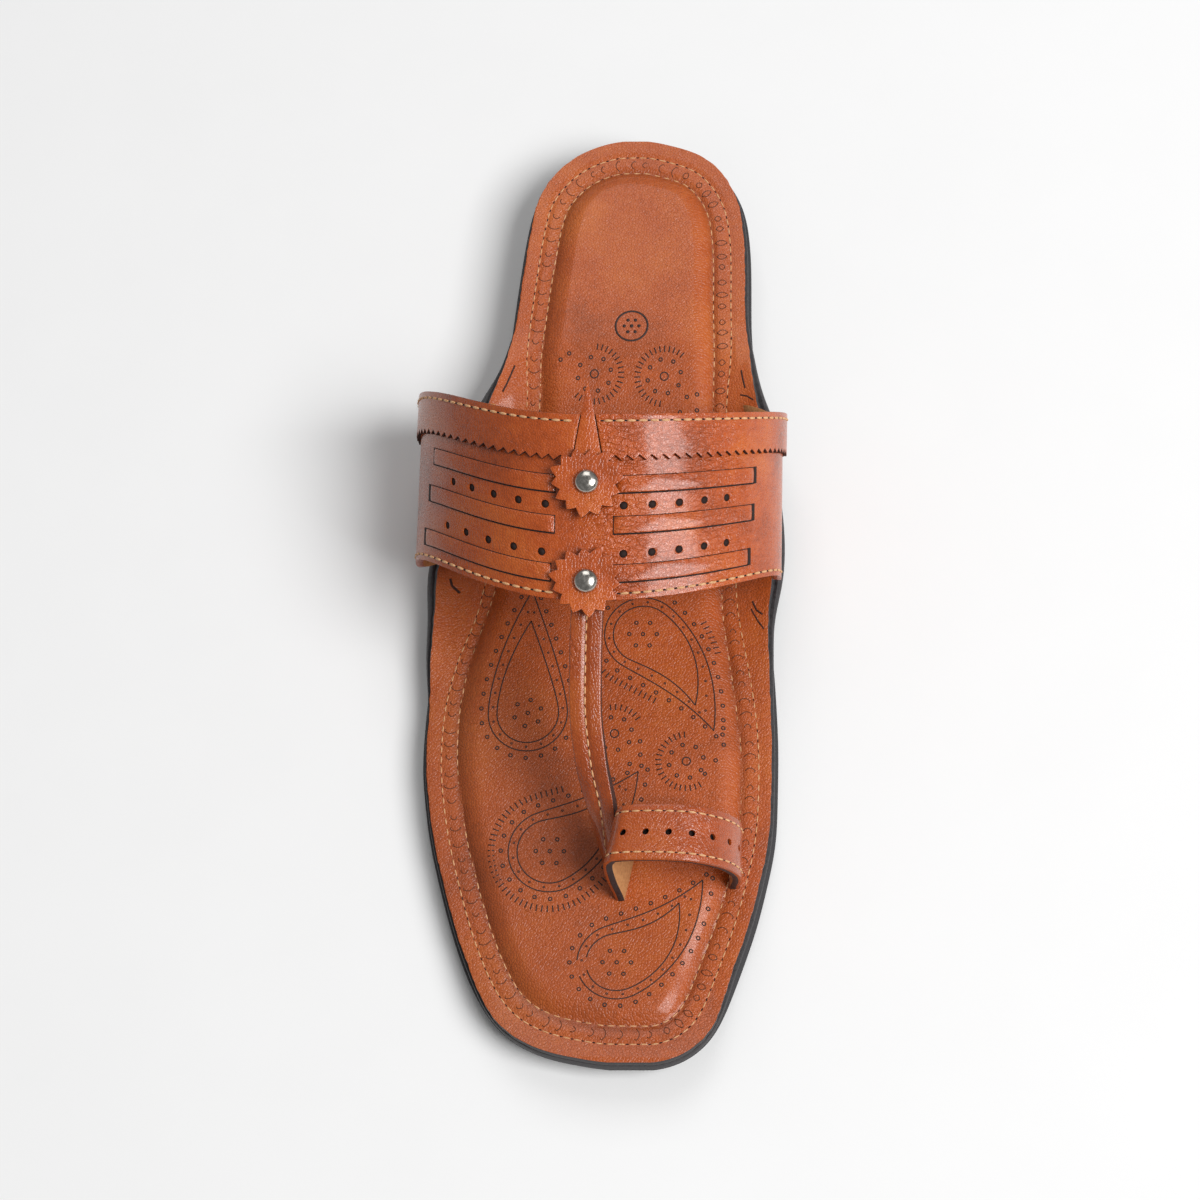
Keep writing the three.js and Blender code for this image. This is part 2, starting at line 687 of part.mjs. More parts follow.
// Holes along the middle of the ring, a pitch apart
function ringHoles() {
  const drills = [];
  let travelled = -RING_HOLE_PITCH * RING_HOLES_LEAD_SHARE;
  let before = onRing(RING_HOLES_FROM_SHARE, 0.5, 0);
  for (let k = 1; k <= RING_HOLE_SAMPLES && drills.length < RING_HOLES; k += 1) {
    const t = mix(RING_HOLES_FROM_SHARE, RING_HOLES_TO_SHARE, k / RING_HOLE_SAMPLES);
    const here = onRing(t, 0.5, 0);
    travelled += here.distanceTo(before);
    before = here;
    if (travelled >= RING_HOLE_PITCH) {
      travelled -= RING_HOLE_PITCH;
      const ends = [-1, 1].map((side) => onRing(t, 0.5, side * RING_THICKNESS));
      drills.push(rod(...ends, RING_HOLE_DIAMETER, HOLE_SIDES));
    }
  }
  return drills;
}

function toeRing() {
  let wall = ringSheet(RING_PLACES.slice(1, -1), [0, 1], RING_THICKNESS / 2);
  for (const hole of ringHoles()) wall = wall.subtract(hole);
  return wall;
}

function upper() {
  const straps = band().add(centreStrap()).add(toeRing());
  return straps.subtract(rivetHole(REAR_RIVET_SHARE)).subtract(rivetHole(FRONT_RIVET_SHARE));
}

function rivetHole(across) {
  return bandDrill(0, across, RIVET_SHANK_DIAMETER + 2 * RIVET_CLEARANCE, -STACK, STACK);
}

// The spike is widest at the rear star and runs to a point past the band's rear edge
const SPIKE_FOOT = REAR_RIVET_SHARE - 0.08;
const SPIKE_WIDEST = OVERLAY_FRONT_SHARE - ZIGZAG_DEPTH / BAND_WIDTH;
const SPIKE_TIP = 1 + SPIKE_PAST_EDGE / BAND_WIDTH;

function spikeHalfRun(across) {
  const taper = clamp((SPIKE_TIP - across) / (SPIKE_TIP - SPIKE_WIDEST), 0.05, 1);
  return SPIKE_WIDTH / 2 * taper / CROWN_LENGTH_PER_RUN;
}

// Overlay strip on one side of the spike: a pinked front edge, and straight along the band's rear edge
const OVERLAY_END_SHARE = 0.86;

function overlay(side) {
  const startRun = (across) => spikeHalfRun(across) + LAYER_GAP / CROWN_LENGTH_PER_RUN;
  const teeth = Math.round(OVERLAY_END_SHARE * CROWN_LENGTH_PER_RUN / ZIGZAG_PITCH);
  const tooth = ZIGZAG_DEPTH / BAND_WIDTH;
  const rows = evenShares(2 * teeth).map((t, i) => {
    const front = OVERLAY_FRONT_SHARE + (i % 2 ? -tooth / 2 : tooth / 2);
    return [front, 1].map((across) => [side * mix(startRun(across), OVERLAY_END_SHARE, t), across]);
  });
  return bandSheet(rows, () => LAYER_GAP, () => LAYER_GAP + OVERLAY_THICKNESS);
}

function spike() {
  const places = [SPIKE_FOOT, REAR_RIVET_SHARE, SPIKE_WIDEST, 0.9, 1, mix(1, SPIKE_TIP, 0.5), SPIKE_TIP];
  const rows = places.map((across) => [-1, 0, 1].map((w) => [w * spikeHalfRun(across), across]));
  const sheet = bandSheet(rows, () => LAYER_GAP, () => LAYER_GAP + OVERLAY_THICKNESS);
  return sheet.subtract(rivetHole(REAR_RIVET_SHARE));
}

const REAR_STAR_LOW = LAYER_GAP + OVERLAY_THICKNESS + LAYER_GAP;
const FRONT_STAR_LOW = STRIP_RAISE + LAYER_GAP;

// Star with pinked points round a rivet, on the band's own face
function star(centre, low) {
  const hole = RIVET_SHANK_DIAMETER / 2 + RIVET_CLEARANCE;
  const outer = STAR_DIAMETER / 2;
  const rings = [hole, outer];
  const place = (ring, k, lift) => {
    const angle = Math.PI * k / STAR_POINTS;
    const valley = ring === rings.length - 1 && k % 2 === 1;
    const radius = rings[ring] - (valley ? STAR_TOOTH : 0);
    const run = radius * Math.cos(angle) / CROWN_LENGTH_PER_RUN;
    const across = centre + radius * Math.sin(angle) / BAND_WIDTH;
    return onBand(run, across, low + lift);
  };
  const around = evenShares(2 * STAR_POINTS).slice(0, -1).map((_, k) => k);
  const points = [];
  const level = (lift) => rings.map((_, ring) => around.map((k) => points.push(place(ring, k, lift)) - 1));
  const bottom = level(0);
  const top = level(STAR_THICKNESS);
  const faces = [];
  const quad = (a, b, c, d) => faces.push([a, b, c], [a, c, d]);
  around.forEach((k) => {
    const n = (k + 1) % around.length;
    for (let ring = 0; ring + 1 < rings.length; ring += 1) {
      quad(top[ring][k], top[ring + 1][k], top[ring + 1][n], top[ring][n]);
      quad(bottom[ring][k], bottom[ring][n], bottom[ring + 1][n], bottom[ring + 1][k]);
    }
    const rim = rings.length - 1;
    quad(bottom[rim][k], bottom[rim][n], top[rim][n], top[rim][k]);
    quad(bottom[0][k], top[0][k], top[0][n], bottom[0][n]);
  });
  return solidFrom(points, faces);
}

// Rivet: dome, shank and flat back, turned about its own axis
function rivet(across, headHeight, backHeight) {
  const seatPoint = onBand(0, across, 0);
  const axis = onBand(0, across, 1).sub(seatPoint).normalize();
  const head = RIVET_HEAD_DIAMETER / 2;
  const shank = RIVET_SHANK_DIAMETER / 2;
  const back = RIVET_BACK_DIAMETER / 2;
  const dome = [0, 22, 45, 68, 90].map((degrees) => new THREE.Vector2(
    head * Math.cos(radians(degrees)),
    headHeight + RIVET_HEAD_EDGE + (RIVET_HEAD_HEIGHT - RIVET_HEAD_EDGE) * Math.sin(radians(degrees)),
  ));
  dome[dome.length - 1].x = 0;
  const profile = [
    new THREE.Vector2(0, backHeight - RIVET_BACK_THICKNESS),
    new THREE.Vector2(back, backHeight - RIVET_BACK_THICKNESS),
    new THREE.Vector2(back, backHeight),
    new THREE.Vector2(shank, backHeight),
    new THREE.Vector2(shank, headHeight),
    new THREE.Vector2(head, headHeight),
    ...dome,
  ];
  const geometry = new THREE.LatheGeometry(profile, 12);
  geometry.applyQuaternion(new THREE.Quaternion().setFromUnitVectors(new THREE.Vector3(0, 1, 0), axis));
  geometry.translate(...seatPoint.toArray());
  return solidFromGeometry(geometry);
}

const FINISH = {
  cognac: { color: 0xb5622f, roughness: 0.42, metalness: 0 },
  edge: { color: 0x3a3638, roughness: 0.7, metalness: 0 },
  rubber: { color: 0x2e2c2d, roughness: 0.85, metalness: 0 },
  nickel: { color: 0x9a958e, roughness: 0.3, metalness: 1 },
};

// Corners closer together than this are one corner
const SNAP = 0.004;

// A solid's faces with near corners joined, and the faces that closed up left out
function snapped(solid) {
  const { vertProperties, triVerts } = solid.getMesh();
  const corners = Float32Array.from(vertProperties, (value) => Math.round(value / SNAP) * SNAP);
  const loose = new THREE.BufferGeometry();
  loose.setAttribute('position', new THREE.BufferAttribute(corners, 3));
  loose.setIndex(new THREE.BufferAttribute(new Uint32Array(triVerts), 1));
  const joined = mergeVertices(loose, SNAP / 2);
  const index = joined.index.array;
  const kept = [];
  for (let i = 0; i < index.length; i += 3) {
    const [a, b, c] = index.slice(i, i + 3);
    if (a !== b && b !== c && c !== a) kept.push(a, b, c);
  }
  joined.setIndex(kept);
  return joined;
}

function meshOf(name, solid, finish) {
  const geometry = snapped(solid);
  geometry.computeVertexNormals();
  const mesh = new THREE.Mesh(geometry, new THREE.MeshStandardMaterial(FINISH[finish]));
  mesh.name = name;
  return mesh;
}

const strapBack = -BAND_THICKNESS - LAYER_GAP;
const frontBack = strapBack - CENTRE_STRAP_THICKNESS;

const sandal = new THREE.Group();
sandal.add(
  meshOf('outsole', outsole(), 'rubber'),
  meshOf('heel', heel(), 'rubber'),
  meshOf('midsole', midsole(), 'edge'),
  meshOf('insole', insole(), 'cognac'),
  meshOf('upper', upper(), 'cognac'),
  meshOf('overlay_lateral', overlay(-1), 'cognac'),
  meshOf('overlay_medial', overlay(1), 'cognac'),
  meshOf('spike', spike(), 'cognac'),
  meshOf('star_rear', star(REAR_RIVET_SHARE, REAR_STAR_LOW), 'cognac'),
  meshOf('star_front', star(FRONT_RIVET_SHARE, FRONT_STAR_LOW), 'cognac'),
  meshOf('rivet_rear', rivet(REAR_RIVET_SHARE, REAR_STAR_LOW + STAR_THICKNESS + LAYER_GAP, strapBack), 'nickel'),
  meshOf('rivet_front', rivet(FRONT_RIVET_SHARE, FRONT_STAR_LOW + STAR_THICKNESS + LAYER_GAP, frontBack), 'nickel'),
);

// The part's origin is on the ground under the middle of its box
const box = new THREE.Box3().setFromObject(sandal);
const middle = box.getCenter(new THREE.Vector3());
sandal.position.set(-middle.x, -middle.y, -box.min.z);

const part = new THREE.Group();
part.add(sandal);

export default part;
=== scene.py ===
"""Looks of a kolhapuri sandal for the right foot.

Glossy cognac straps with woven strips, pinked stars and nickel rivets stand over a padded leather footbed
with burnt ornament, a painted leather edge and a moulded rubber sole. Shapes are worked out in last
coordinates, in millimetres: x from the sole's axis toward the inner side of the foot, s from the tip of the
toe toward the heel, and z from the ground.
"""

import logging
import math
from collections.abc import Callable, Sequence
from dataclasses import dataclass, field
from enum import Enum
from functools import partial
from typing import NamedTuple

import bmesh
import bpy
import numpy as np
from mathutils import Matrix, Vector


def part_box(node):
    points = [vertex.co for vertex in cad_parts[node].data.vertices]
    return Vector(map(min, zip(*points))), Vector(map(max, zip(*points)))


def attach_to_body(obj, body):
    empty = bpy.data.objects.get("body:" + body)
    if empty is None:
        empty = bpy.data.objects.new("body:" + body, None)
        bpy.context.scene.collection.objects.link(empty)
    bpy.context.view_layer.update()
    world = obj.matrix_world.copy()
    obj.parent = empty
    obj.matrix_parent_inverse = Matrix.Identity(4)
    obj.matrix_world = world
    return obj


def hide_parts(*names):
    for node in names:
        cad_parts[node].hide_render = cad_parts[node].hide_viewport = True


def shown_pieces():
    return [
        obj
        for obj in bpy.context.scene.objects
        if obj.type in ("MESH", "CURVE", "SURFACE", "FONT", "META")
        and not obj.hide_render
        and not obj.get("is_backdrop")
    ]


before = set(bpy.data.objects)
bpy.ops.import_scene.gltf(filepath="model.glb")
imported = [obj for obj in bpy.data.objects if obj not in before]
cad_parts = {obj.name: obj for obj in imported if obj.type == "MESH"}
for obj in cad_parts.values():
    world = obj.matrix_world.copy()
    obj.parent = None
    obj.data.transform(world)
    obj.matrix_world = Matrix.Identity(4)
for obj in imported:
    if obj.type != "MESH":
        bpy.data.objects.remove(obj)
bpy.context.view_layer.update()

LOG = logging.getLogger("sandal")
MM = 0.001

Array = np.ndarray
Place = Callable[[Array, Array, Array], Array]


class Side(Enum):
    """The two sides of the foot, by the sign of their x."""

    OUTER = -1
    INNER = 1


class Skin(Enum):
    """Parts of a sheet of leather that take different finishes, by material index."""

    FACE = 0
    EDGE = 1
    BACK = 2


class PlanRow(NamedTuple):
    """Half widths of the footbed, ears left aside: shares of the length and of half the local width."""

    along: float
    outer: float
    inner: float


PLAN = tuple(
    PlanRow(*row)
    for row in (
        (0.0, 0.04, 0.2), (0.0032, 0.16, 0.27), (0.0071, 0.3, 0.34), (0.0174, 0.475, 0.42),
        (0.0277, 0.577, 0.48), (0.0479, 0.693, 0.54), (0.0887, 0.82, 0.616), (0.17, 0.982, 0.752),
        (0.252, 1.095, 0.826), (0.32, 1.137, 0.829), (0.4, 1.12, 0.806), (0.507, 1.04, 0.752),
        (0.585, 0.988, 0.748), (0.674, 1.0, 0.832), (0.768, 1.062, 0.97), (0.862, 1.003, 0.961),
        (0.908, 0.955, 0.928), (0.935, 0.905, 0.865), (0.957, 0.791, 0.758), (0.982, 0.579, 0.546),
        (0.9965, 0.301, 0.179), (1.0, 0.15, 0.06)
    )
)


class EarRow(NamedTuple):
    """How far each ear stands out: shares of the length and of the ear's reach."""

    along: float
    outer: float
    inner: float


EARS = tuple(
    EarRow(*row)
    for row in (
        (0.375, 0.0, 0.0), (0.422, 0.3, 0.12), (0.465, 0.5, 0.3), (0.507, 0.78, 0.7), (0.585, 0.97, 0.95),
        (0.66, 1.0, 1.0), (0.7, 0.72, 0.6), (0.735, 0.28, 0.25), (0.78, 0.0, 0.0)
    )
)


class StitchRow(NamedTuple):
    """Distance of the footbed's two stitch rows from the outline on each side, in millimetres."""

    along: float
    outer_rim: float
    outer_pad: float
    inner_rim: float
    inner_pad: float


STITCHES = tuple(
    StitchRow(*row)
    for row in (
        (0.0, 3.8, 9.4, 3.8, 9.4), (0.3, 4.0, 8.8, 3.4, 8.2), (0.35, 4.1, 8.4, 3.9, 9.2),
        (0.41, 5.3, 9.2, 5.1, 10.4), (0.49, 9.4, 12.6, 6.4, 11.3), (0.58, 9.8, 13.6, 6.2, 11.2),
        (0.697, 6.3, 10.8, 4.6, 9.2), (0.75, 4.0, 8.4, 4.1, 9.3), (1.0, 3.9, 9.2, 3.9, 9.2)
    )
)


class StripRow(NamedTuple):
    """A woven strip's place across the band, and the angles over the foot at which its two halves end."""

    across: float
    outer_from: float
    outer_to: float
    inner_from: float
    inner_to: float


STRIPS = (
    StripRow(0.14, -66, -11, 7, 56),
    StripRow(0.4, -63, -10, 8, 58),
    StripRow(0.62, -61, -10, 9, 59),
)


class HoleRow(NamedTuple):
    """A row of punched holes across the band: first angle and step on each side."""

    across: float
    outer_first: float
    outer_step: float
    inner_first: float
    inner_step: float


HOLES = (
    HoleRow(0.245, -14, -9.3, 11, 8.8),
    HoleRow(0.505, -13, -8.9, 11, 8.8),
)
HOLES_IN_ROW = 5


class StrapRow(NamedTuple):
    """A place on the centre strap: shares of length, half ball width and band height, and its twist."""

    along: float
    across: float
    up: float
    twist: float


STRAP = tuple(
    StrapRow(*row)
    for row in (
        (0.468, -0.162, 1.015, 0), (0.425, -0.16, 0.955, 0), (0.39, -0.168, 0.87, 0),
        (0.335, -0.172, 0.745, 2), (0.28, -0.14, 0.595, 10), (0.24, -0.085, 0.45, 28),
        (0.214, -0.06, 0.34, 50), (0.194, -0.046, 0.25, 66), (0.182, -0.038, 0.19, 76)
    )
)


class RingRow(NamedTuple):
    """A place on the toe ring's middle line seen from the front: shares of its span and height."""

    across: float
    up: float


RING = tuple(
    RingRow(*row)
    for row in (
        (0.0, -0.2), (-0.01, 0.1), (-0.045, 0.45), (-0.06, 0.8), (-0.035, 0.92), (0.03, 0.975), (0.28, 1.0),
        (0.56, 0.97), (0.74, 0.85), (0.88, 0.66), (0.955, 0.42), (0.965, 0.2), (0.94, 0.0), (0.93, -0.2)
    )
)


class PaisleyRow(NamedTuple):
    """A burnt paisley: bulb, radius and tip in millimetres, bend, and where ticks and a break run."""

    x: float
    s: float
    radius: float
    tip_x: float
    tip_s: float
    bend: float
    ticks: tuple[tuple[float, float], ...]
    break_from: float
    break_to: float
    turn: float


PAISLEYS = tuple(
    PaisleyRow(*row)
    for row in (
        (-28.3, 101.4, 11.5, -28.4, 139.0, 0.6, (), 0.0, 0.0, 20),
        (4.4, 125.6, 11.2, 25.5, 96.3, 2.9, ((0.2, 0.28), (0.685, 0.83)), 0.0, 0.0, 0),
        (-20.4, 60.2, 11.9, 4.1, 84.0, -2.5, ((0.19, 0.75),), 0.0, 0.0, 0),
        (-0.4, 27.8, 11.2, 23.2, 52.2, -3.0, (), 0.46, 0.49, 0)
    )
)


class RosetteRow(NamedTuple):
    """A burnt rosette: centre in millimetres and the angles between which its ticks run."""

    x: float
    s: float
    ticks_from: float
    ticks_to: float


ROSETTES = tuple(
    RosetteRow(*row)
    for row in (
        (-11.6, 205.4, -130, 85), (9.2, 204.6, 50, 262), (-3.0, 95.3, 35, 100), (17.8, 87.1, 95, 300)
    )
)


class DotRow(NamedTuple):
    """A loose burnt dot between the motifs, in millimetres."""

    x: float
    s: float


DOTS = tuple(
    DotRow(*row)
    for row in (
        (-19.3, 211.4), (-21.8, 209.6), (16.0, 198.6), (19.0, 199.4), (19.0, 194.8), (14.0, 194.2),
        (23.2, 83.4), (26.2, 87.4), (28.4, 92.2), (28.2, 97.2), (4.4, 93.0), (4.6, 89.0), (1.6, 86.2)
    )
)


class EarFoldRow(NamedTuple):
    """A fold or slit of an ear beside the band's foot, drawn as a line of painted shade: its path and width
    in millimetres.
    """

    path: tuple[tuple[float, float], ...]
    width: float


EAR_FOLDS = tuple(
    EarFoldRow(*row)
    for row in (
        (((-36.5, 208.2), (-37.8, 205.4), (-39.3, 202.6), (-40.9, 200.1)), 0.5),
        (((32.8, 206.3), (33.6, 203.6), (34.7, 200.7)), 0.5),
        (((33.2, 199.1), (35.6, 198.3), (37.9, 196.7)), 0.4),
        (((-55.1, 143.3), (-54.3, 141.0), (-51.4, 139.0)), 0.8),
        (((37.2, 136.6), (38.4, 134.0), (40.2, 132.8)), 0.6),
        (((36.6, 134.4), (38.5, 130.8), (40.3, 128.3)), 0.5)
    )
)


class SideRow(NamedTuple):
    """A place up the outsole's side: share of its thickness, and how far it lies inside the widest line."""

    up: float
    inset: float


OUTSOLE_SIDE = tuple(
    SideRow(*row)
    for row in (
        (0.0, 1.2), (0.2, 0.2), (0.34, 0.0), (0.5, 0.05), (0.58, 0.65), (0.68, 0.65), (0.76, 0.05),
        (0.88, 0.0), (1.0, 0.35)
    )
)


class SmoothTable:
    """A column of a table, read with a smooth curve through its rows, level where the column turns."""

    def __init__(self, places: Sequence[float], values: Sequence[float]) -> None:
        """Works out the curve's slope at each row.

        Args:
            places: where each row lies, rising.
            values: the column's value in each row.
        """
        self.places = np.asarray(places, float)
        self.values = np.asarray(values, float)
        slope = np.diff(self.values) / np.diff(self.places)
        before, after = slope[:-1], slope[1:]
        same_way = before * after > 0
        total = np.where(same_way, before + after, 1.0)
        inner = np.where(same_way, 2 * before * after / total, 0.0)
        self.slopes = np.concatenate([slope[:1], inner, slope[-1:]])

    def __call__(self, at: Array) -> Array:
        """Reads the column.

        Args:
            at: places to read it at.

        Returns:
            The column's values there, held at both ends.
        """
        at = np.clip(at, self.places[0], self.places[-1])
        row = np.clip(np.searchsorted(self.places, at, side="right") - 1, 0, len(self.places) - 2)
        run = self.places[row + 1] - self.places[row]
        t = (at - self.places[row]) / run
        rise = self.values[row + 1] - self.values[row]
        line = self.values[row] + rise * t * t * (3 - 2 * t)
        return line + t * (1 - t) * run * ((1 - t) * self.slopes[row] - t * self.slopes[row + 1])


def smooth(low: float, high: float, value: Array) -> Array:
    """Share risen smoothly, from 0 at the low place to 1 at the high one."""
    t = np.clip((value - low) / (high - low), 0, 1)
    return t * t * (3 - 2 * t)


def mix(a: Array, b: Array, share: Array) -> Array:
    """Blend of two values, by the share of the second."""
    return a + (b - a) * share


def swell(away: Array, height: float, reach: float) -> Array:
    """A rounded ridge of a height, fading within its reach of the line that lies a distance away."""
    return height * np.exp(-((away / reach) ** 2))


def unit(vectors: Array) -> Array:
    """Rows of vectors scaled to length one."""
    return vectors / np.maximum(np.linalg.norm(vectors, axis=-1, keepdims=True), 1e-9)


def points(x: Array, y: Array, z: Array) -> Array:
    """Rows of points from their three columns."""
    return np.stack(np.broadcast_arrays(np.asarray(x, float), y, z), axis=-1)


def stand_off(
    surface: Callable[[Array, Array], Array], a: Array, b: Array, height: Array, step: float
) -> Array:
    """Points at a height over a surface, measured square to it.

    Args:
        surface: gives the surface's points from its two coordinates.
        a: first coordinate.
        b: second coordinate.
        height: height over the surface.
        step: how far to each side the slope is read.

    Returns:
        Rows of points.
    """
    along_a = surface(a + step, b) - surface(a - step, b)
    along_b = surface(a, b + step) - surface(a, b - step)
    normal = unit(np.cross(along_a, along_b))
    return surface(a, b) + normal * np.asarray(height, float)[..., None]


def soften(loop: Array, reach: float) -> Array:
    """Smooths a closed loop evenly along its length, which takes out the flats between a table's rows.

    Args:
        loop: rows of plan points.
        reach: how far along the loop each point is blended.

    Returns:
        As many points, moved.
    """
    closed = np.concatenate([loop, loop[:1]])
    travelled = arc_length(closed)
    even = np.linspace(0, travelled[-1], 1600, endpoint=False)
    half = int(reach / even[1])
    window = np.hanning(2 * half + 3)[1:-1]
    columns = []
    for k in (0, 1):
        values = np.interp(even, travelled, closed[:, k])
        wrapped = np.concatenate([values[-half:], values, values[:half]])
        blended = np.convolve(wrapped, window / window.sum(), mode="valid")
        columns.append(np.interp(travelled[:-1], even, blended, period=travelled[-1]))
    return np.stack(columns, axis=1)


def arc_length(path: Array) -> Array:
    """Length travelled at each point of a path."""
    return np.concatenate([[0.0], np.cumsum(np.linalg.norm(np.diff(path, axis=0), axis=1))])


@dataclass(frozen=True)
class Last:
    """Plan and bed of the sandal, in last coordinates and millimetres."""

    length: float = 282.0
    ball_width: float = 101.0
    heel_width: float = 67.0
    ear_reach: float = 8.7
    ear_lift: float = 6.5
    ear_curl_width: float = 16.0
    outsole_thickness: float = 4.0
    midsole_thickness: float = 2.5
    insole_thickness: float = 2.0
    layer_gap: float = 0.3
    toe_spring: float = 4.0
    toe_spring_length: float = 35.0
    heel_height: float = 9.0
    arch_front: float = 150.0
    arch_rear: float = 215.0
    pad_height: float = 2.8
    pad_roll: float = 6.2
    outline_softness: float = 9.0
    pad_start: float = 0.5
    rim_channel: tuple[float, float] = (0.22, 0.9)
    pad_channel: tuple[float, float] = (0.42, 0.8)
    piping: tuple[float, float] = (0.08, 1.7)
    plan: dict[Side, SmoothTable] = field(default_factory=dict)
    ears: dict[Side, SmoothTable] = field(default_factory=dict)
    rows: dict[str, SmoothTable] = field(default_factory=dict)

    def __post_init__(self) -> None:
        """Reads the tables once."""
        turns = np.arccos(1 - 2 * np.array([row.along for row in PLAN]))
        self.plan[Side.OUTER] = SmoothTable(turns, [row.outer for row in PLAN])
        self.plan[Side.INNER] = SmoothTable(turns, [row.inner for row in PLAN])
        places = [row.along for row in EARS]
        self.ears[Side.OUTER] = SmoothTable(places, [row.outer for row in EARS])
        self.ears[Side.INNER] = SmoothTable(places, [row.inner for row in EARS])
        places = [row.along for row in STITCHES]
        for name in ("outer_rim", "outer_pad", "inner_rim", "inner_pad"):
            self.rows[name] = SmoothTable(places, [getattr(row, name) for row in STITCHES])

    @property
    def midsole_low(self) -> float:
        """Height of the midsole's underside over the bed."""
        return self.layer_gap

    @property
    def midsole_high(self) -> float:
        """Height of the midsole's top over the bed."""
        return self.midsole_low + self.midsole_thickness

    @property
    def insole_low(self) -> float:
        """Height of the insole's underside over the bed."""
        return self.midsole_high + self.layer_gap

    @property
    def insole_high(self) -> float:
        """Height of the insole's top over the bed, where it isn't padded."""
        return self.insole_low + self.insole_thickness

    def by_side(self, tables: dict[Side, SmoothTable], side: Array, at: Array) -> Array:
        """Reads the table of the side that each point lies on, by the sign of its x."""
        return np.where(side < 0, tables[Side.OUTER](at), tables[Side.INNER](at))

    def bare_half_width(self, s: Array, side: Array) -> Array:
        """Half width without ears.

        Args:
            s: distance from the toe.
            side: sign of x.

        Returns:
            Distance of the outline from the axis.
        """
        turn = np.arccos(np.clip(1 - 2 * s / self.length, -1, 1))
        local = mix(self.ball_width, self.heel_width, smooth(0.5, 0.8, s / self.length)) / 2
        return self.by_side(self.plan, side, turn) * local

    def ear_share(self, s: Array, side: Array) -> Array:
        """Share of the ear's reach at a place along the sole."""
        return self.by_side(self.ears, side, s / self.length)

    def eared_half_width(self, s: Array, side: Array) -> Array:
        """Half width with ears at a place along the sole."""
        return self.bare_half_width(s, side) + self.ear_reach * self.ear_share(s, side)

    def seat(self, s: Array) -> Array:
        """Height of the outsole's top face.

        Args:
            s: distance from the toe.

        Returns:
            Height over the ground.
        """
        spring = self.toe_spring * np.maximum(0, 1 - s / self.toe_spring_length) ** 2
        rise = self.heel_height * smooth(self.arch_front, self.arch_rear, s)
        return self.outsole_thickness + spring + rise

    def bed(self, x: Array, s: Array) -> Array:
        """The bed that the footbed's layers follow, with its ears curled up.

        Args:
            x: distance from the axis.
            s: distance from the toe.

        Returns:
            Rows of points.
        """
        s = np.clip(s, 0, self.length)
        side = np.where(x < 0, -1.0, 1.0)
        inside = self.eared_half_width(s, side) - np.abs(x)
        curl = np.maximum(0, 1 - inside / self.ear_curl_width) ** 2
        return points(x, s, self.seat(s) + self.ear_lift * self.ear_share(s, side) * curl)

    def over_bed(self, x: Array, s: Array, height: Array) -> Array:
        """Points at a height over the bed, square to it."""
        return stand_off(self.bed, x, s, height, 0.05)

    def outline(
        self, samples: int = 200, half_width: Callable[[Array, float], Array] | None = None
    ) -> Array:
        """An outline as a closed loop of plan points, from the toe down the outer side and back.

        Args:
            samples: points on each side.
            half_width: gives the half width from s and side, or the bare one.

        Returns:
            Rows of x and s.
        """
        s = self.length * (1 - np.cos(np.linspace(0, np.pi, samples))) / 2
        wide = half_width or self.bare_half_width
        outer = np.stack([-wide(s, -1), s], axis=1)
        inner = np.stack([wide(s, 1), s], axis=1)
        return soften(np.concatenate([outer, inner[::-1]]), self.outline_softness)

    def inside(self, x: Array, s: Array) -> Array:
        """Distance inside the bare outline.

        Args:
            x: distance from the axis.
            s: distance from the toe.

        Returns:
            Distances, below zero outside it.
        """
        loop = self.outline(90)
        start, run = loop, np.roll(loop, -1, axis=0) - loop
        at = np.stack([x, s], axis=-1).reshape(-1, 1, 2)
        t = np.clip(((at - start) * run).sum(-1) / np.maximum((run**2).sum(-1), 1e-9), 0, 1)
        nearest = np.linalg.norm(at - start - run * t[..., None], axis=-1).min(axis=1).reshape(np.shape(x))
        within = np.abs(x) < self.bare_half_width(s, np.where(x < 0, -1.0, 1.0))
        return np.where(within, nearest, -nearest)

    def row_depth(self, x: Array, s: Array, row: str) -> Array:
        """Distance of a stitch row, rim or pad, from the outline beside a point."""
        along = s / self.length
        return np.where(x < 0, self.rows[f"outer_{row}"](along), self.rows[f"inner_{row}"](along))

    def pad(self, x: Array, s: Array) -> Array:
        """Height of the padded middle over the footbed's flat rim, with the two stitched channels.

        Args:
            x: distance from the axis.
            s: distance from the toe.

        Returns:
            Heights.
        """
        depth = self.inside(x, s)
        rim, row = self.row_depth(x, s, "rim"), self.row_depth(x, s, "pad")
        share = np.clip((depth - row - self.pad_start) / self.pad_roll, 0, 1)
        channels = swell(depth - rim, *self.rim_channel) + swell(depth - row, *self.pad_channel)
        return self.pad_height * np.sin(share * np.pi / 2) - channels + swell(
            depth - (rim + row) / 2, *self.piping
        )

    def footbed_top(self, x: Array, s: Array, height: Array) -> Array:
        """Points at a height over the footbed's leather."""
        return self.over_bed(x, s, self.insole_high + self.pad(x, s) + height)


LAST = Last()


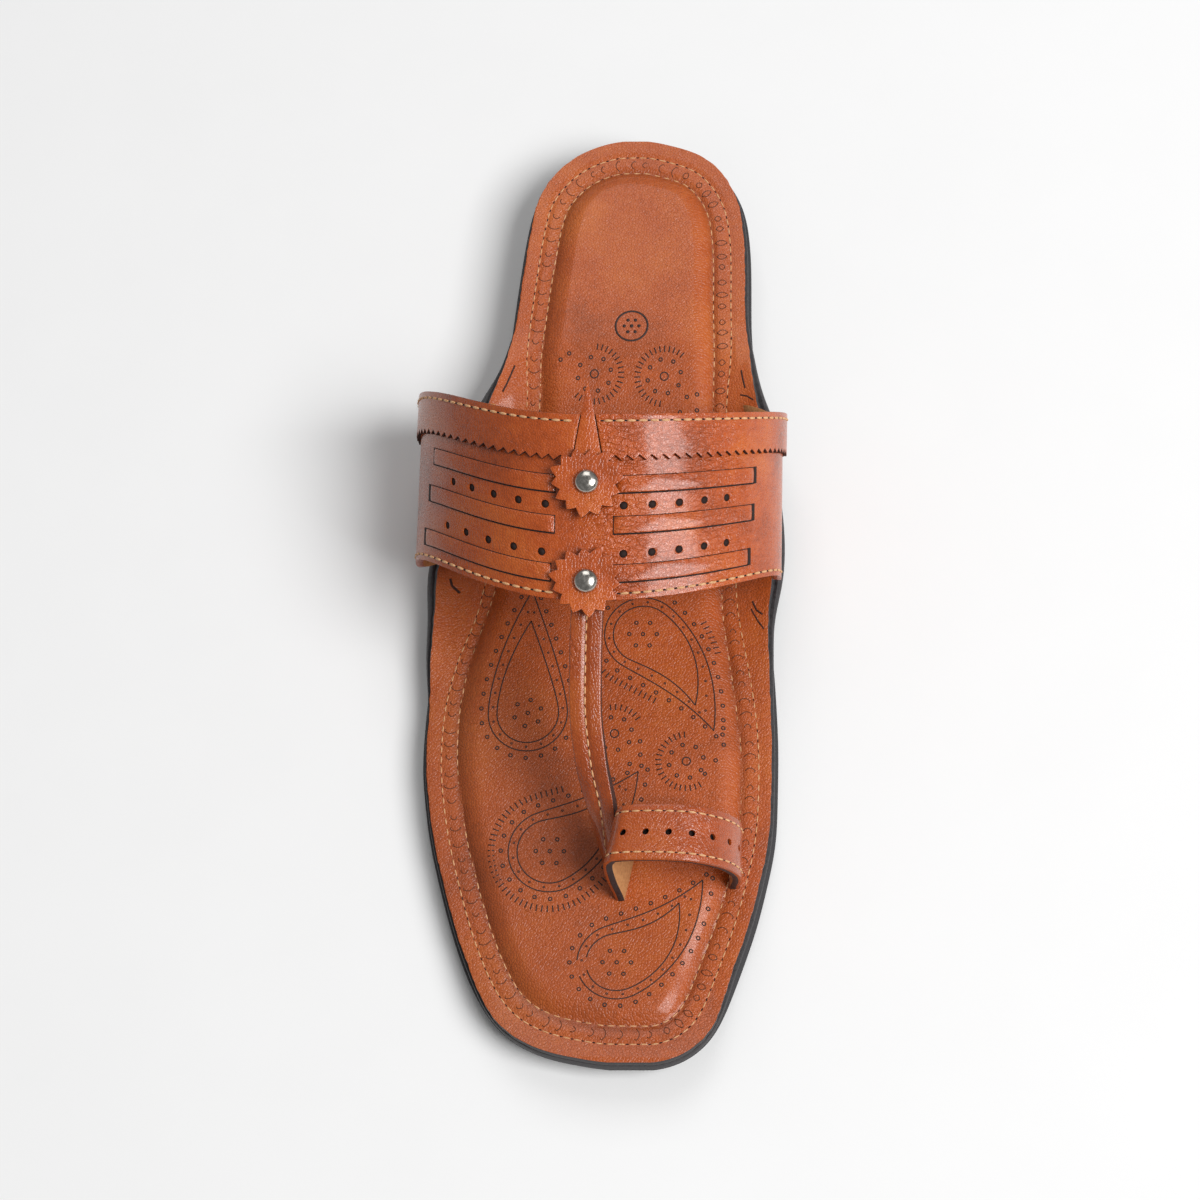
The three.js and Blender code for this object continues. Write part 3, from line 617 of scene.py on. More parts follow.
@dataclass(frozen=True)
class BandForm:
    """Shape of the instep band over the foot, in millimetres along its crown and across it."""

    thickness: float = 2.2
    half_span: float = 52.9
    centre: float = -8.2
    front_crown_at: float = 119.8
    rear_crown_at: float = 170.2
    front_crown_rise: float = 52.0
    rear_crown_rise: float = 63.0
    bulge_rise: float = 21.0
    sweep_outer: float = 22.3
    sweep_inner: float = 18.2
    front_powers: tuple[float, float] = (2.1, 1.6)
    rear_powers: tuple[float, float] = (1.9, 1.1)
    slit_inset: float = 4.5
    slit_front_at: float = 149.5
    slit_rear_at: float = 196.6
    arch_share: float = 0.8
    tuck_top: float = 0.45
    tuck_foot: float = 0.4
    length_per_run: float = 104.0
    width: float = 53.0

    def edge(self, crown_at: float, crown_rise: float, powers: tuple[float, float], turn: Array) -> Array:
        """One edge of the band over the foot.

        Args:
            crown_at: distance of its crown from the toe.
            crown_rise: height of its crown over the seat.
            powers: how it sweeps back on the outer and inner side.
            turn: angle over the foot.

        Returns:
            Rows of points.
        """
        outer = turn < 0
        height = np.maximum(np.cos(turn), 0)
        sweep = np.where(outer, self.sweep_outer, self.sweep_inner)
        power = np.where(outer, powers[0], powers[1])
        seat = LAST.seat(np.asarray(crown_at))
        s = crown_at + sweep * (1 - height**power)
        z = seat + mix(self.bulge_rise, crown_rise, height)
        return points(self.centre + self.half_span * np.sin(turn), s, z)

    def foot(self, side: Array, across: Array) -> Array:
        """Where the band goes through the footbed.

        Args:
            side: sign of x.
            across: share of the band's width.

        Returns:
            Rows of points.
        """
        s = mix(self.slit_front_at, self.slit_rear_at, across)
        x = side * (LAST.eared_half_width(s, side) - self.slit_inset)
        return LAST.over_bed(x, s, (LAST.midsole_low + LAST.midsole_high) / 2)

    def face(self, run: Array, across: Array) -> Array:
        """The band's outer face.

        Args:
            run: from -1 to 1 over the foot.
            across: from 0 at the front edge to 1 at the rear.

        Returns:
            Rows of points.
        """
        turn = np.clip(run / self.arch_share, -1, 1) * np.pi / 2
        front = self.edge(self.front_crown_at, self.front_crown_rise, self.front_powers, turn)
        rear = self.edge(self.rear_crown_at, self.rear_crown_rise, self.rear_powers, turn)
        top = mix(front, rear, across[..., None])
        foot = self.foot(np.where(run < 0, -1.0, 1.0), np.clip(across, -0.05, 1.05))
        drop = (top[..., 2] - foot[..., 2])[..., None]
        down = np.array([0.0, 0.0, 1.0])
        t = np.clip((np.abs(run) - self.arch_share) / (1 - self.arch_share), 0, 1)[..., None]
        curve = top * (1 - t) ** 3 + 3 * (top - down * self.tuck_top * drop) * t * (1 - t) ** 2
        curve = curve + 3 * (foot + down * self.tuck_foot * drop) * t**2 * (1 - t) + foot * t**3
        return np.where((np.abs(run) <= self.arch_share)[..., None], top, curve)

    def over(self, a: Array, b: Array, height: Array) -> Array:
        """Points over the face, from millimetres along the crown and across from the front edge."""
        run, across = a / self.length_per_run, b / self.width
        return stand_off(self.face, run, across, height, 0.004)

    def along(self, degrees: float) -> float:
        """Millimetres along the crown of an angle over the foot."""
        return degrees / 90 * self.arch_share * self.length_per_run


BAND = BandForm()


def last_origin() -> Array:
    """Where the last's own origin lies in the frame.

    Returns:
        The place in millimetres.
    """
    strap_low, strap_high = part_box("upper")
    sole_low, sole_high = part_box("outsole")
    heel_low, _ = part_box("heel")
    x = (strap_low.x + strap_high.x) / 2 / MM - BAND.centre
    y = (sole_low.y + sole_high.y) / 2 / MM - LAST.length / 2
    return np.array([x, y, heel_low.z / MM])


ORIGIN = last_origin()


def to_frame(place: Array) -> Array:
    """Turns points from last millimetres into the frame's metres."""
    return (place + ORIGIN) * MM


def linear(hex_colour: str) -> tuple[float, float, float, float]:
    """Turns an sRGB hex colour into Blender's linear colour.

    Args:
        hex_colour: six hex digits.

    Returns:
        Red, green, blue and alpha.
    """
    channels = [int(hex_colour[i : i + 2], 16) / 255 for i in (0, 2, 4)]
    red, green, blue = (c / 12.92 if c <= 0.04045 else ((c + 0.055) / 1.055) ** 2.4 for c in channels)
    return (red, green, blue, 1.0)


def add_node(
    tree: bpy.types.NodeTree, kind: str, links: dict | None = None, **settings: object
) -> bpy.types.Node:
    """Adds a node with its settings and links.

    Args:
        tree: the tree that gets it.
        kind: the shader node's type name.
        links: for each input, by name or number, a value or the socket that feeds it.
        settings: the node's own properties.

    Returns:
        The node.
    """
    node = tree.nodes.new(f"ShaderNode{kind}")
    for name, value in settings.items():
        setattr(node, name, value)
    for name, value in (links or {}).items():
        if isinstance(value, bpy.types.NodeSocket):
            tree.links.new(value, node.inputs[name])
        else:
            node.inputs[name].default_value = value
    return node


def set_ramp(
    node: bpy.types.Node, stops: Sequence[tuple[float, tuple[float, float, float, float]]]
) -> None:
    """Sets the stops of a colour ramp.

    Args:
        node: the ramp's node.
        stops: place and colour of each stop.
    """
    ramp = node.color_ramp
    while len(ramp.elements) < len(stops):
        ramp.elements.new(0.5)
    for element, (place, colour) in zip(ramp.elements, stops):
        element.position = place
        element.color = colour


def new_material(name: str) -> tuple[bpy.types.Material, Callable[..., bpy.types.Node]]:
    """Starts a material.

    Args:
        name: its name.

    Returns:
        The material, and add_node for its tree.
    """
    material = bpy.data.materials.new(name)
    material.use_nodes = True
    material.node_tree.nodes.clear()
    return material, partial(add_node, material.node_tree)


@dataclass(frozen=True)
class GlazedLeather:
    """Vegetable-tanned cowhide with a wax glaze: warm, clouded darker, pebbled, and creased where bent.

    The pattern follows the piece's own UV map, which is in millimetres of leather.
    """

    name: str
    colour: str
    dark: str
    light: str
    # Dark brown mixed in by the burnish share: painted shade on the footbed and band, a flat darker tone on
    # the centre strap and toe ring
    burnished: str
    cloud_mm: float = 26.0
    mottle_mm: float = 1.6
    pore_mm: float = 0.9
    crease_mm: float = 2.6
    crease_depth_mm: float = 0.16
    pore_depth_mm: float = 0.05
    roughness: float = 0.36
    coat: float = 0.25
    crease_cover: float = 0.5
    crease_line: float = 0.22
    pore_line: float = 0.25
    warp_mm: float = 2.4
    warp_scale: float = 0.35
    crease_turn: float = 0.6
    crease_stretch: tuple[float, float, float] = (0.62, 1.25, 1.0)
    cover_mm: float = 17.0
    cover_most: float = 0.6
    cover_spread: float = 0.4
    mottle_share: float = 0.35
    stops: tuple[float, float, float] = (0.36, 0.66, 0.92)
    coat_roughness: float = 0.13
    ior: float = 1.5

    def make(self) -> bpy.types.Material:
        """Builds the material.

        Returns:
            The material.
        """
        material, add = new_material(self.name)
        uv = add("UVMap", uv_map="UVMap").outputs["UV"]
        cloud = add("TexNoise", {"Vector": uv, "Scale": 1 / self.cloud_mm, "Detail": 4.0, "Roughness": 0.6})
        mottle = add(
            "TexNoise", {"Vector": uv, "Scale": 1 / self.mottle_mm, "Detail": 3.0, "Roughness": 0.6}
        )
        mixed = add(
            "Math", {0: mottle.outputs["Fac"], 1: self.mottle_share, 2: cloud.outputs["Fac"]},
            operation="MULTIPLY_ADD"
        )
        ramp = add("ValToRGB", {"Fac": mixed.outputs[0]})
        set_ramp(ramp, list(zip(self.stops, map(linear, (self.dark, self.colour, self.light)))))
        # Painted shade and tone: a share stored at each vertex darkens the colour toward a dark brown
        burnish = add("Attribute", attribute_name="burnish")
        # Numbered sockets: 0 is the factor, 6 and 7 the two colours, and output 2 the mixed colour
        toned_and_shaded = add(
            "Mix", {0: burnish.outputs["Fac"], 6: ramp.outputs["Color"], 7: linear(self.burnished)},
            data_type="RGBA"
        )
        warp = add("TexNoise", {"Vector": uv, "Scale": self.warp_scale, "Detail": 2.0})
        bent = add(
            "VectorMath", {0: warp.outputs["Color"], 1: (self.warp_mm, self.warp_mm, 0.0), 2: uv},
            operation="MULTIPLY_ADD"
        )
        stretched = add(
            "Mapping",
            {
                "Vector": bent.outputs[0], "Rotation": (0.0, 0.0, self.crease_turn),
                "Scale": self.crease_stretch
            }
        )
        crease = add(
            "TexVoronoi",
            {"Vector": stretched.outputs["Vector"], "Scale": 1 / self.crease_mm, "Randomness": 1.0},
            feature="DISTANCE_TO_EDGE", voronoi_dimensions="2D"
        )
        crease_low = add(
            "MapRange", {"Value": crease.outputs["Distance"], "From Max": self.crease_line},
            interpolation_type="SMOOTHSTEP"
        )
        cover = add("TexNoise", {"Vector": uv, "Scale": 1 / self.cover_mm, "Detail": 2.0})
        covered = add(
            "MapRange",
            {
                "Value": cover.outputs["Fac"], "From Min": 0.62 - self.cover_spread * self.crease_cover,
                "From Max": 0.8 - self.cover_spread * self.crease_cover, "To Max": self.cover_most
            },
            interpolation_type="SMOOTHSTEP"
        )
        pores = add(
            "TexVoronoi", {"Vector": uv, "Scale": 1 / self.pore_mm, "Randomness": 1.0},
            feature="DISTANCE_TO_EDGE", voronoi_dimensions="2D"
        )
        pore_low = add("MapRange", {"Value": pores.outputs["Distance"], "From Max": self.pore_line})
        wrinkle = add("Attribute", attribute_name="wrinkle")
        spread = add("Math", {0: wrinkle.outputs["Fac"], 1: covered.outputs["Result"]}, operation="MAXIMUM")
        creases = add("Math", {0: crease_low.outputs["Result"], 1: spread.outputs[0]}, operation="MULTIPLY")
        fine = add(
            "Bump",
            {"Height": pore_low.outputs["Result"], "Strength": 1.0, "Distance": self.pore_depth_mm * MM}
        )
        bump = add(
            "Bump",
            {
                "Height": creases.outputs[0], "Strength": 1.0, "Distance": self.crease_depth_mm * MM,
                "Normal": fine.outputs["Normal"]
            }
        )
        rough = add(
            "MapRange",
            {
                "Value": mottle.outputs["Fac"], "From Min": 0.3, "From Max": 0.7,
                "To Min": self.roughness - 0.06, "To Max": self.roughness + 0.08
            }
        )
        shader = add(
            "BsdfPrincipled",
            {
                "Base Color": toned_and_shaded.outputs[2], "Roughness": rough.outputs["Result"],
                "Normal": bump.outputs["Normal"], "IOR": self.ior, "Coat Weight": self.coat,
                "Coat Roughness": self.coat_roughness
            }
        )
        add("OutputMaterial", {"Surface": shader.outputs["BSDF"]})
        return material


@dataclass(frozen=True)
class PlainFinish:
    """A surface of one material with a little mottling and a fine bump, on Object coordinates."""

    name: str
    colour: str
    second: str
    grain_mm: float
    depth_mm: float
    roughness: float
    metallic: float = 0.0
    coat: float = 0.0

    def make(self) -> bpy.types.Material:
        """Builds the material.

        Returns:
            The material.
        """
        material, add = new_material(self.name)
        place = add("TexCoord").outputs["Object"]
        grain = add(
            "TexNoise",
            {"Vector": place, "Scale": 1 / (self.grain_mm * MM), "Detail": 3.0, "Roughness": 0.6}
        )
        ramp = add("ValToRGB", {"Fac": grain.outputs["Fac"]})
        set_ramp(ramp, [(0.35, linear(self.second)), (0.65, linear(self.colour))])
        bump = add(
            "Bump", {"Height": grain.outputs["Fac"], "Strength": 1.0, "Distance": self.depth_mm * MM}
        )
        rough = add(
            "MapRange",
            {
                "Value": grain.outputs["Fac"], "From Min": 0.3, "From Max": 0.7,
                "To Min": max(self.roughness - 0.08, 0.05), "To Max": self.roughness + 0.08
            }
        )
        shader = add(
            "BsdfPrincipled",
            {
                "Base Color": ramp.outputs["Color"], "Roughness": rough.outputs["Result"],
                "Metallic": self.metallic, "Normal": bump.outputs["Normal"], "Coat Weight": self.coat
            }
        )
        add("OutputMaterial", {"Surface": shader.outputs["BSDF"]})
        return material


@dataclass(frozen=True)
class Finishes:
    """Every finish of the sandal."""

    strap: GlazedLeather = GlazedLeather(
        "glazed_cowhide_strap", "B34E17", "7A300C", "C86423", "4A1E0C", crease_mm=2.1, crease_depth_mm=0.2,
        pore_depth_mm=0.07, roughness=0.3, coat=0.4, crease_cover=0.2
    )
    footbed: GlazedLeather = GlazedLeather(
        "waxed_cowhide_footbed", "B2521B", "883D15", "C36526", "4A1E0C", cloud_mm=38.0, crease_mm=1.9,
        crease_depth_mm=0.12, pore_depth_mm=0.09, roughness=0.42, coat=0.28, crease_cover=0.55
    )
    # Acrylic edge paint on skived leather: near black, softly shiny, a little uneven
    edge_paint: PlainFinish = PlainFinish("black_edge_paint", "3A3638", "252224", 1.2, 0.12, 0.55)
    # Raw edge of dyed cowhide: dark brown fibres; the same dark brown also paints the shade in the ears'
    # folds and slits
    cut_edge: PlainFinish = PlainFinish("dyed_cut_leather_edge", "4A2418", "2E150E", 0.6, 0.08, 0.75)
    # Flesh side of split leather: pale tan and napped
    lining: PlainFinish = PlainFinish("split_leather_lining", "C8925E", "AE7848", 0.8, 0.1, 0.9)
    # Waxed polyester thread: beige with darker lay lines
    thread: PlainFinish = PlainFinish("waxed_thread", "E4B487", "BE8856", 0.5, 0.08, 0.6)
    # Scorched leather where a hot stamp touched: matt grey brown
    burnt: PlainFinish = PlainFinish("scorched_stamp_line", "402C28", "2C1D1A", 0.7, 0.03, 0.7)
    # Cold stamp marks: leather pressed a little darker, without scorching
    pressed: PlainFinish = PlainFinish("cold_stamped_mark", "6A351A", "552A14", 0.7, 0.03, 0.6)
    # Painted shade: dark discs and spots set in punch holes, needle holes and strip slots, where there is
    # only shade
    shade: PlainFinish = PlainFinish("hole_shade", "2A1712", "1C0F0B", 0.7, 0.02, 0.85)
    # Nickel plate on steel, burnished dull by wear
    nickel: PlainFinish = PlainFinish(
        "old_nickel_plate", "CBC6BE", "A9A49C", 0.9, 0.012, 0.24, metallic=1.0
    )
    # Moulded styrene rubber: charcoal, matt, with a fine moulded grain
    rubber: PlainFinish = PlainFinish("moulded_rubber", "3B393B", "2B292B", 0.5, 0.06, 0.7)
    # Seamless paper: pale and matt
    paper: PlainFinish = PlainFinish("seamless_paper", "F0F0F0", "EFEFEF", 40.0, 0.0, 0.9)


class Workshop:
    """Makes each finish once and hands it out."""

    def __init__(self, finishes: Finishes) -> None:
        """Keeps the finishes, none of them made yet."""
        self.finishes = finishes
        self.made: dict[str, bpy.types.Material] = {}

    def get(self, name: str) -> bpy.types.Material:
        """Gives the material of a finish.

        Args:
            name: field of Finishes.

        Returns:
            The material.
        """
        if name not in self.made:
            self.made[name] = getattr(self.finishes, name).make()
        return self.made[name]


SHOP = Workshop(Finishes())


class Pile:
    """Small shapes drawn in batches, because an operator slows down as its mesh grows."""

    BATCH = 60

    def __init__(self) -> None:
        """Starts empty."""
        self.batches = [bmesh.new()]
        self.drawn = 0

    def part(self) -> bmesh.types.BMesh:
        """The batch that the next shape goes into."""
        self.drawn += 1
        if self.drawn % self.BATCH == 0:
            self.batches.append(bmesh.new())
        return self.batches[-1]

    def pour(self, mesh: bmesh.types.BMesh) -> None:
        """Adds every batch to a mesh.

        Args:
            mesh: the bmesh that gets them.
        """
        for batch in self.batches:
            data = bpy.data.meshes.new("batch")
            batch.to_mesh(data)
            batch.free()
            mesh.from_mesh(data)
            bpy.data.meshes.remove(data)
        self.batches = [bmesh.new()]


class FlatWork:
    """Leather or line work that is drawn flat in a surface's own coordinates, then laid on it."""

    def __init__(self) -> None:
        """Starts with nothing drawn."""
        self.mesh = bmesh.new()
        self.level = self.mesh.verts.layers.float.new("level")
        self.uv = self.mesh.loops.layers.uv.new("UVMap")
        self.pen = Pile()

    def grid(
        self, columns: int, rows: int, low: tuple[float, float], high: tuple[float, float],
        mesh: bmesh.types.BMesh | None = None
    ) -> list:
        """Draws a rectangle of small faces.

        Args:
            columns: faces along the first coordinate.
            rows: faces along the second.
            low: its low corner.
            high: its high corner.
            mesh: the bmesh that gets it, or the work's own.

        Returns:
            The new vertices.
        """
        middle = Matrix.Translation(((low[0] + high[0]) / 2, (low[1] + high[1]) / 2, 0))
        size = Matrix.Diagonal((high[0] - low[0], high[1] - low[1], 1, 1))
        made = bmesh.ops.create_grid(
            mesh or self.mesh, x_segments=columns, y_segments=rows, size=0.5, matrix=middle @ size
        )
        return made["verts"]

    def warp(self, move: Callable[[Array, Array], tuple[Array, Array]]) -> None:
        """Moves the flat vertices within the plane.

        Args:
            move: gives new coordinates from old ones.
        """
        verts = list(self.mesh.verts)
        flat = np.array([v.co[:2] for v in verts])
        x, y = move(flat[:, 0], flat[:, 1])
        for vert, a, b in zip(verts, x, y):
            vert.co = (a, b, 0)

    def punch(self, centres: Sequence[tuple[float, float]], diameter: float) -> None:
        """Cuts round holes through the flat sheet.

        Args:
            centres: places of the holes.
            diameter: their diameter.
        """
        radius = diameter / 2
        holes = np.array(centres)
        faces = list(self.mesh.faces)
        middles = np.array([f.calc_center_median()[:2] for f in faces])
        apart = np.linalg.norm(middles[:, None] - holes[None], axis=2).min(axis=1)
        gone = [f for f, d in zip(faces, apart) if d < radius]
        rims = {v for f in gone for v in f.verts}
        bmesh.ops.delete(self.mesh, geom=gone, context="FACES")
        for vert in (v for v in rims if v.is_valid):
            flat = np.array(vert.co[:2])
            hole = holes[np.argmin(np.linalg.norm(holes - flat, axis=1))]
            out = unit(flat - hole) * radius
            vert.co = (hole[0] + out[0], hole[1] + out[1], 0)

    def line(self, path: Array, width: float, closed: bool = False) -> None:
        """Draws a line of even width.

        Args:
            path: rows of flat points.
            width: the line's width.
            closed: whether it ends where it starts.
        """
        path = np.asarray(path, float)
        if closed:
            path = np.concatenate([path, path[:1]])
            ahead = np.roll(path[:-1], -1, axis=0) - np.roll(path[:-1], 1, axis=0)
            ahead = np.concatenate([ahead, ahead[:1]])
        else:
            ahead = np.gradient(path, axis=0)
        aside = unit(np.stack([-ahead[:, 1], ahead[:, 0]], axis=1)) * width
        steps = len(path) - 1
        verts = self.grid(steps, 1, (0, -0.5), (steps, 0.5), self.pen.part())
        for vert in verts:
            place = path[round(vert.co.x)] + aside[round(vert.co.x)] * vert.co.y
            vert.co = (place[0], place[1], 0)

    def circle(self, x: float, y: float, diameter: float, width: float, sides: int = 10) -> None:
        """Draws a small ring.

        Args:
            x: first coordinate of its centre.
            y: second coordinate.
            diameter: of the middle of its line.
            width: of its line.
            sides: corners of the ring.
        """
        turn = np.arange(sides) / sides * 2 * np.pi
        path = np.stack([x + np.cos(turn) * diameter / 2, y + np.sin(turn) * diameter / 2], axis=1)
        self.line(path, width, closed=True)

    def spot(self, x: float, y: float, diameter: float, sides: int = 8) -> None:
        """Draws a filled dot.

        Args:
            x: first coordinate.
            y: second coordinate.
            diameter: of the dot.
            sides: corners of the dot.
        """
        bmesh.ops.create_circle(
            self.pen.part(), cap_ends=True, segments=sides, radius=diameter / 2,
            matrix=Matrix.Translation((x, y, 0))
        )

    def thicken(self, levels: int = 1) -> None:
        """Gives the flat work a second face at level 1 over the first at level 0.

        Args:
            levels: faces up its side.
        """
        self.pen.pour(self.mesh)
        bmesh.ops.remove_doubles(self.mesh, verts=self.mesh.verts, dist=0.002)
        made = bmesh.ops.extrude_face_region(self.mesh, geom=list(self.mesh.faces))
        raised = [v for v in made["geom"] if isinstance(v, bmesh.types.BMVert)]
        for vert in raised:
            vert[self.level] = 1.0
        if levels > 1:
            upright = [
                e for e in self.mesh.edges if abs(e.verts[0][self.level] - e.verts[1][self.level]) > 0.5
            ]
            bmesh.ops.subdivide_edges(self.mesh, edges=upright, cuts=levels - 1, use_grid_fill=True)

    def lay(
        self, name: str, place: Place, finishes: Sequence[str], planar: bool = False,
        face_from: float = 0.999
    ) -> bpy.types.Object:
        """Lays the work on a surface and makes it an object.

        Args:
            name: the piece's name.
            place: gives points from both flat coordinates and the level.
            finishes: names of the finish of the face, the edge and the back.
            planar: whether the pattern is read in plan instead of in the flat coordinates.
            face_from: level over which the side takes the face's finish.

        Returns:
            The object.
        """
        verts = list(self.mesh.verts)
        flat = np.array([v.co[:2] for v in verts])
        level = np.array([v[self.level] for v in verts])
        laid = place(flat[:, 0], flat[:, 1], level)
        pattern = laid[:, :2] if planar else flat
        for vert, uv, at in zip(verts, pattern, to_frame(laid)):
            for loop in vert.link_loops:
                loop[self.uv].uv = uv
            vert.co = at
        for face in self.mesh.faces:
            levels = [v[self.level] for v in face.verts]
            skin = Skin.FACE if min(levels) > face_from else Skin.BACK if max(levels) < 0.001 else Skin.EDGE
            face.material_index = min(skin.value, len(finishes) - 1)
            face.smooth = True
        bmesh.ops.recalc_face_normals(self.mesh, faces=self.mesh.faces)
        return to_object(name, self.mesh, finishes)


def to_object(name: str, mesh: bmesh.types.BMesh, finishes: Sequence[str]) -> bpy.types.Object:
    """Turns a bmesh into an object of the scene.

    Args:
        name: the piece's name.
        mesh: its finished mesh, which is freed.
        finishes: names of its finishes.

    Returns:
        The object.
    """
    data = bpy.data.meshes.new(name)
    mesh.to_mesh(data)
    mesh.free()
    for finish in finishes:
        data.materials.append(SHOP.get(finish))
    piece = bpy.data.objects.new(name, data)
    bpy.context.scene.collection.objects.link(piece)
    return piece


def round_edges(piece: bpy.types.Object, width_mm: float) -> None:
    """Rounds a piece's sharp edges with a live bevel.

    Args:
        piece: the object.
        width_mm: width of the rounding.
    """
    bevel = piece.modifiers.new("rounding", "BEVEL")
    bevel.width = width_mm * MM
    bevel.segments = 2
    bevel.limit_method = "ANGLE"
    bevel.angle_limit = math.radians(40)


def paint(piece: bpy.types.Object, name: str, shade: Callable[[Array], Array]) -> None:
    """Stores a share at each vertex for the finish to read.

    Args:
        piece: the object.
        name: burnish for how far the colour is darkened, painted shade on the footbed and band and a flat
            darker tone on the strap and ring, or wrinkle for how crinkled its glaze is.
        shade: gives shares from rows of points in last coordinates.
    """
    mesh = piece.data
    at = np.zeros(len(mesh.vertices) * 3, np.float32)
    mesh.vertices.foreach_get("co", at)
    layer = mesh.attributes.new(name, "FLOAT", "POINT")
    values = np.clip(shade(at.reshape(-1, 3) / MM - ORIGIN), 0, 1)
    layer.data.foreach_set("value", values.astype(np.float32))


def attach(piece: bpy.types.Object, slot: str, *nodes: str) -> None:
    """Makes a piece ride on the sandal and hides the CAD nodes it stands for.

    Args:
        piece: the object.
        slot: not used.
        nodes: CAD nodes that it replaces.
    """
    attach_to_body(piece, "root")
    if nodes:
        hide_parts(*nodes)


def lay_hole_shade(
    name: str, over: Place, centres: Sequence[tuple[float, float]], diameter: float,
    heights: tuple[float, float] = (-0.5, -0.3)
) -> None:
    """Lays dark discs of painted shade inside punched holes, just under the leather's face.

    Args:
        name: the piece's name.
        over: gives points from both surface coordinates and a height.
        centres: places of the holes.
        diameter: of the holes.
        heights: of the discs' two faces.
    """
    work = FlatWork()
    for a, b in centres:
        work.spot(a, b, diameter + 0.1, sides=12)
    work.thicken()
    attach(work.lay(name, lambda a, b, level: over(a, b, mix(*heights, level)), ["shade"]), "strap_leather")


class Thread:
    """Stitches of waxed thread, each a spindle half sunk in the leather, with dark spots of painted shade
    for the needle holes between.
    """

    HOLE_WIDE = 0.8
    HOLE_LONG = 1.5
    HOLE_HIGH = 0.12

    def __init__(self) -> None:
        """Starts with nothing sewn."""
        self.thread = Pile()
        self.holes = Pile()

    def sew(
        self, over: Place, a: Array, b: Array, pitch: float, stitch: float, thickness: float,
        hole: float = 0.7, shown: float = 1.0
    ) -> None:
        """Sews a row along a path on a surface.

        Args:
            over: gives points from both surface coordinates and a height.
            a: first coordinate along the path.
            b: second coordinate along the path.
            pitch: distance from one stitch to the next.
            stitch: length of a stitch.
            thickness: of the thread.
            hole: diameter of the needle holes.
            shown: share of the thread that stands over the leather.
        """
        zero = np.zeros_like(a)
        travelled = arc_length(over(a, b, zero))
        count = max(int(travelled[-1] / pitch), 1)
        pitch = travelled[-1] / count
        for shift, sewn in ((0.5, True), (0.0, False)):
            at = (np.arange(count) + shift) * pitch
            ends = [np.clip(at + d, 0, travelled[-1]) for d in (-0.5, 0.0, 0.5)]
            before, here, after = (
                over(np.interp(e, travelled, a), np.interp(e, travelled, b), zero[:1].repeat(count))
                for e in ends
            )
            raised = over(
                np.interp(ends[1], travelled, a), np.interp(ends[1], travelled, b), np.ones(count)
            )
            ahead, up = unit(after - before), unit(raised - here)
            aside = unit(np.cross(up, ahead))
            if sewn:
                self.beads(
                    self.thread, here, (aside, up, ahead), (thickness, thickness * shown, stitch), 6, 5
                )
            else:
                self.beads(
                    self.holes, here, (aside, up, ahead),
                    (hole * self.HOLE_WIDE, self.HOLE_HIGH, hole * self.HOLE_LONG), 6, 3
                )

    def beads(
        self, pile: Pile, centres: Array, axes: tuple[Array, Array, Array],
        sizes: tuple[float, float, float], around: int, rings: int
    ) -> None:
        """Adds a small ellipsoid at each place.

        Args:
            pile: what gets them.
            centres: their places in last coordinates.
            axes: their three axes.
            sizes: their size along each axis.
            around: faces round each.
            rings: faces from pole to pole.
        """
        for centre, x, y, z in zip(to_frame(centres), *axes):
            matrix = Matrix.Identity(4)
            for column, (axis, size) in enumerate(zip((x, y, z), sizes)):
                for row in range(3):
                    matrix[row][column] = axis[row] * size / 2 * MM
            matrix.translation = Vector(centre)
            bmesh.ops.create_uvsphere(
                pile.part(), u_segments=around, v_segments=rings, radius=1.0, matrix=matrix
            )

    def finish(self, name: str, slot: str) -> None:
        """Makes the thread and the painted shade of its needle holes two pieces.

        Args:
            name: what they sew.
            slot: the record's material slot.
        """
        for pile, part, finish in (
            (self.thread, "stitches", "thread"), (self.holes, "needle_holes", "shade")
        ):
            mesh = bmesh.new()
            pile.pour(mesh)
            for face in mesh.faces:
                face.smooth = True
            attach(to_object(f"{name}_{part}", mesh, [finish]), slot)


class SolePlan:
    """An outline moved out by a margin, filled between its two sides."""

    END_LENGTH = 30.0

    def __init__(
        self, half_width: Callable[[Array, Array], Array], margin: float, toe: float = 0.0,
        heel: float = 0.0, samples: int = 241
    ) -> None:
        """Works out both sides of the outline.

        Args:
            half_width: gives the half width from s and side.
            margin: how far the outline is moved out.
            toe: how much further at the toe.
            heel: how much further at the heel.
            samples: points on each side.
        """
        loop = LAST.outline(samples, half_width)
        ahead = np.roll(loop, -1, axis=0) - np.roll(loop, 1, axis=0)
        at_toe = 1 - smooth(0, self.END_LENGTH, loop[:, 1])
        at_heel = smooth(LAST.length - self.END_LENGTH, LAST.length, loop[:, 1])
        margin = margin + toe * at_toe + heel * at_heel
        loop = loop + unit(np.stack([-ahead[:, 1], ahead[:, 0]], axis=1)) * margin[:, None]
        self.outer, self.inner = loop[:samples], loop[samples:][::-1]
        self.steps = np.linspace(0, 1, samples)

    def at(self, across: Array, along: Array) -> tuple[Array, Array]:
        """Plan point at a share across from the outer side, and a share of the turn from toe to heel."""
        sides = [
            [np.interp(along, self.steps, side[:, k]) for k in (0, 1)] for side in (self.outer, self.inner)
        ]
        return mix(sides[0][0], sides[1][0], across), mix(sides[0][1], sides[1][1], across)


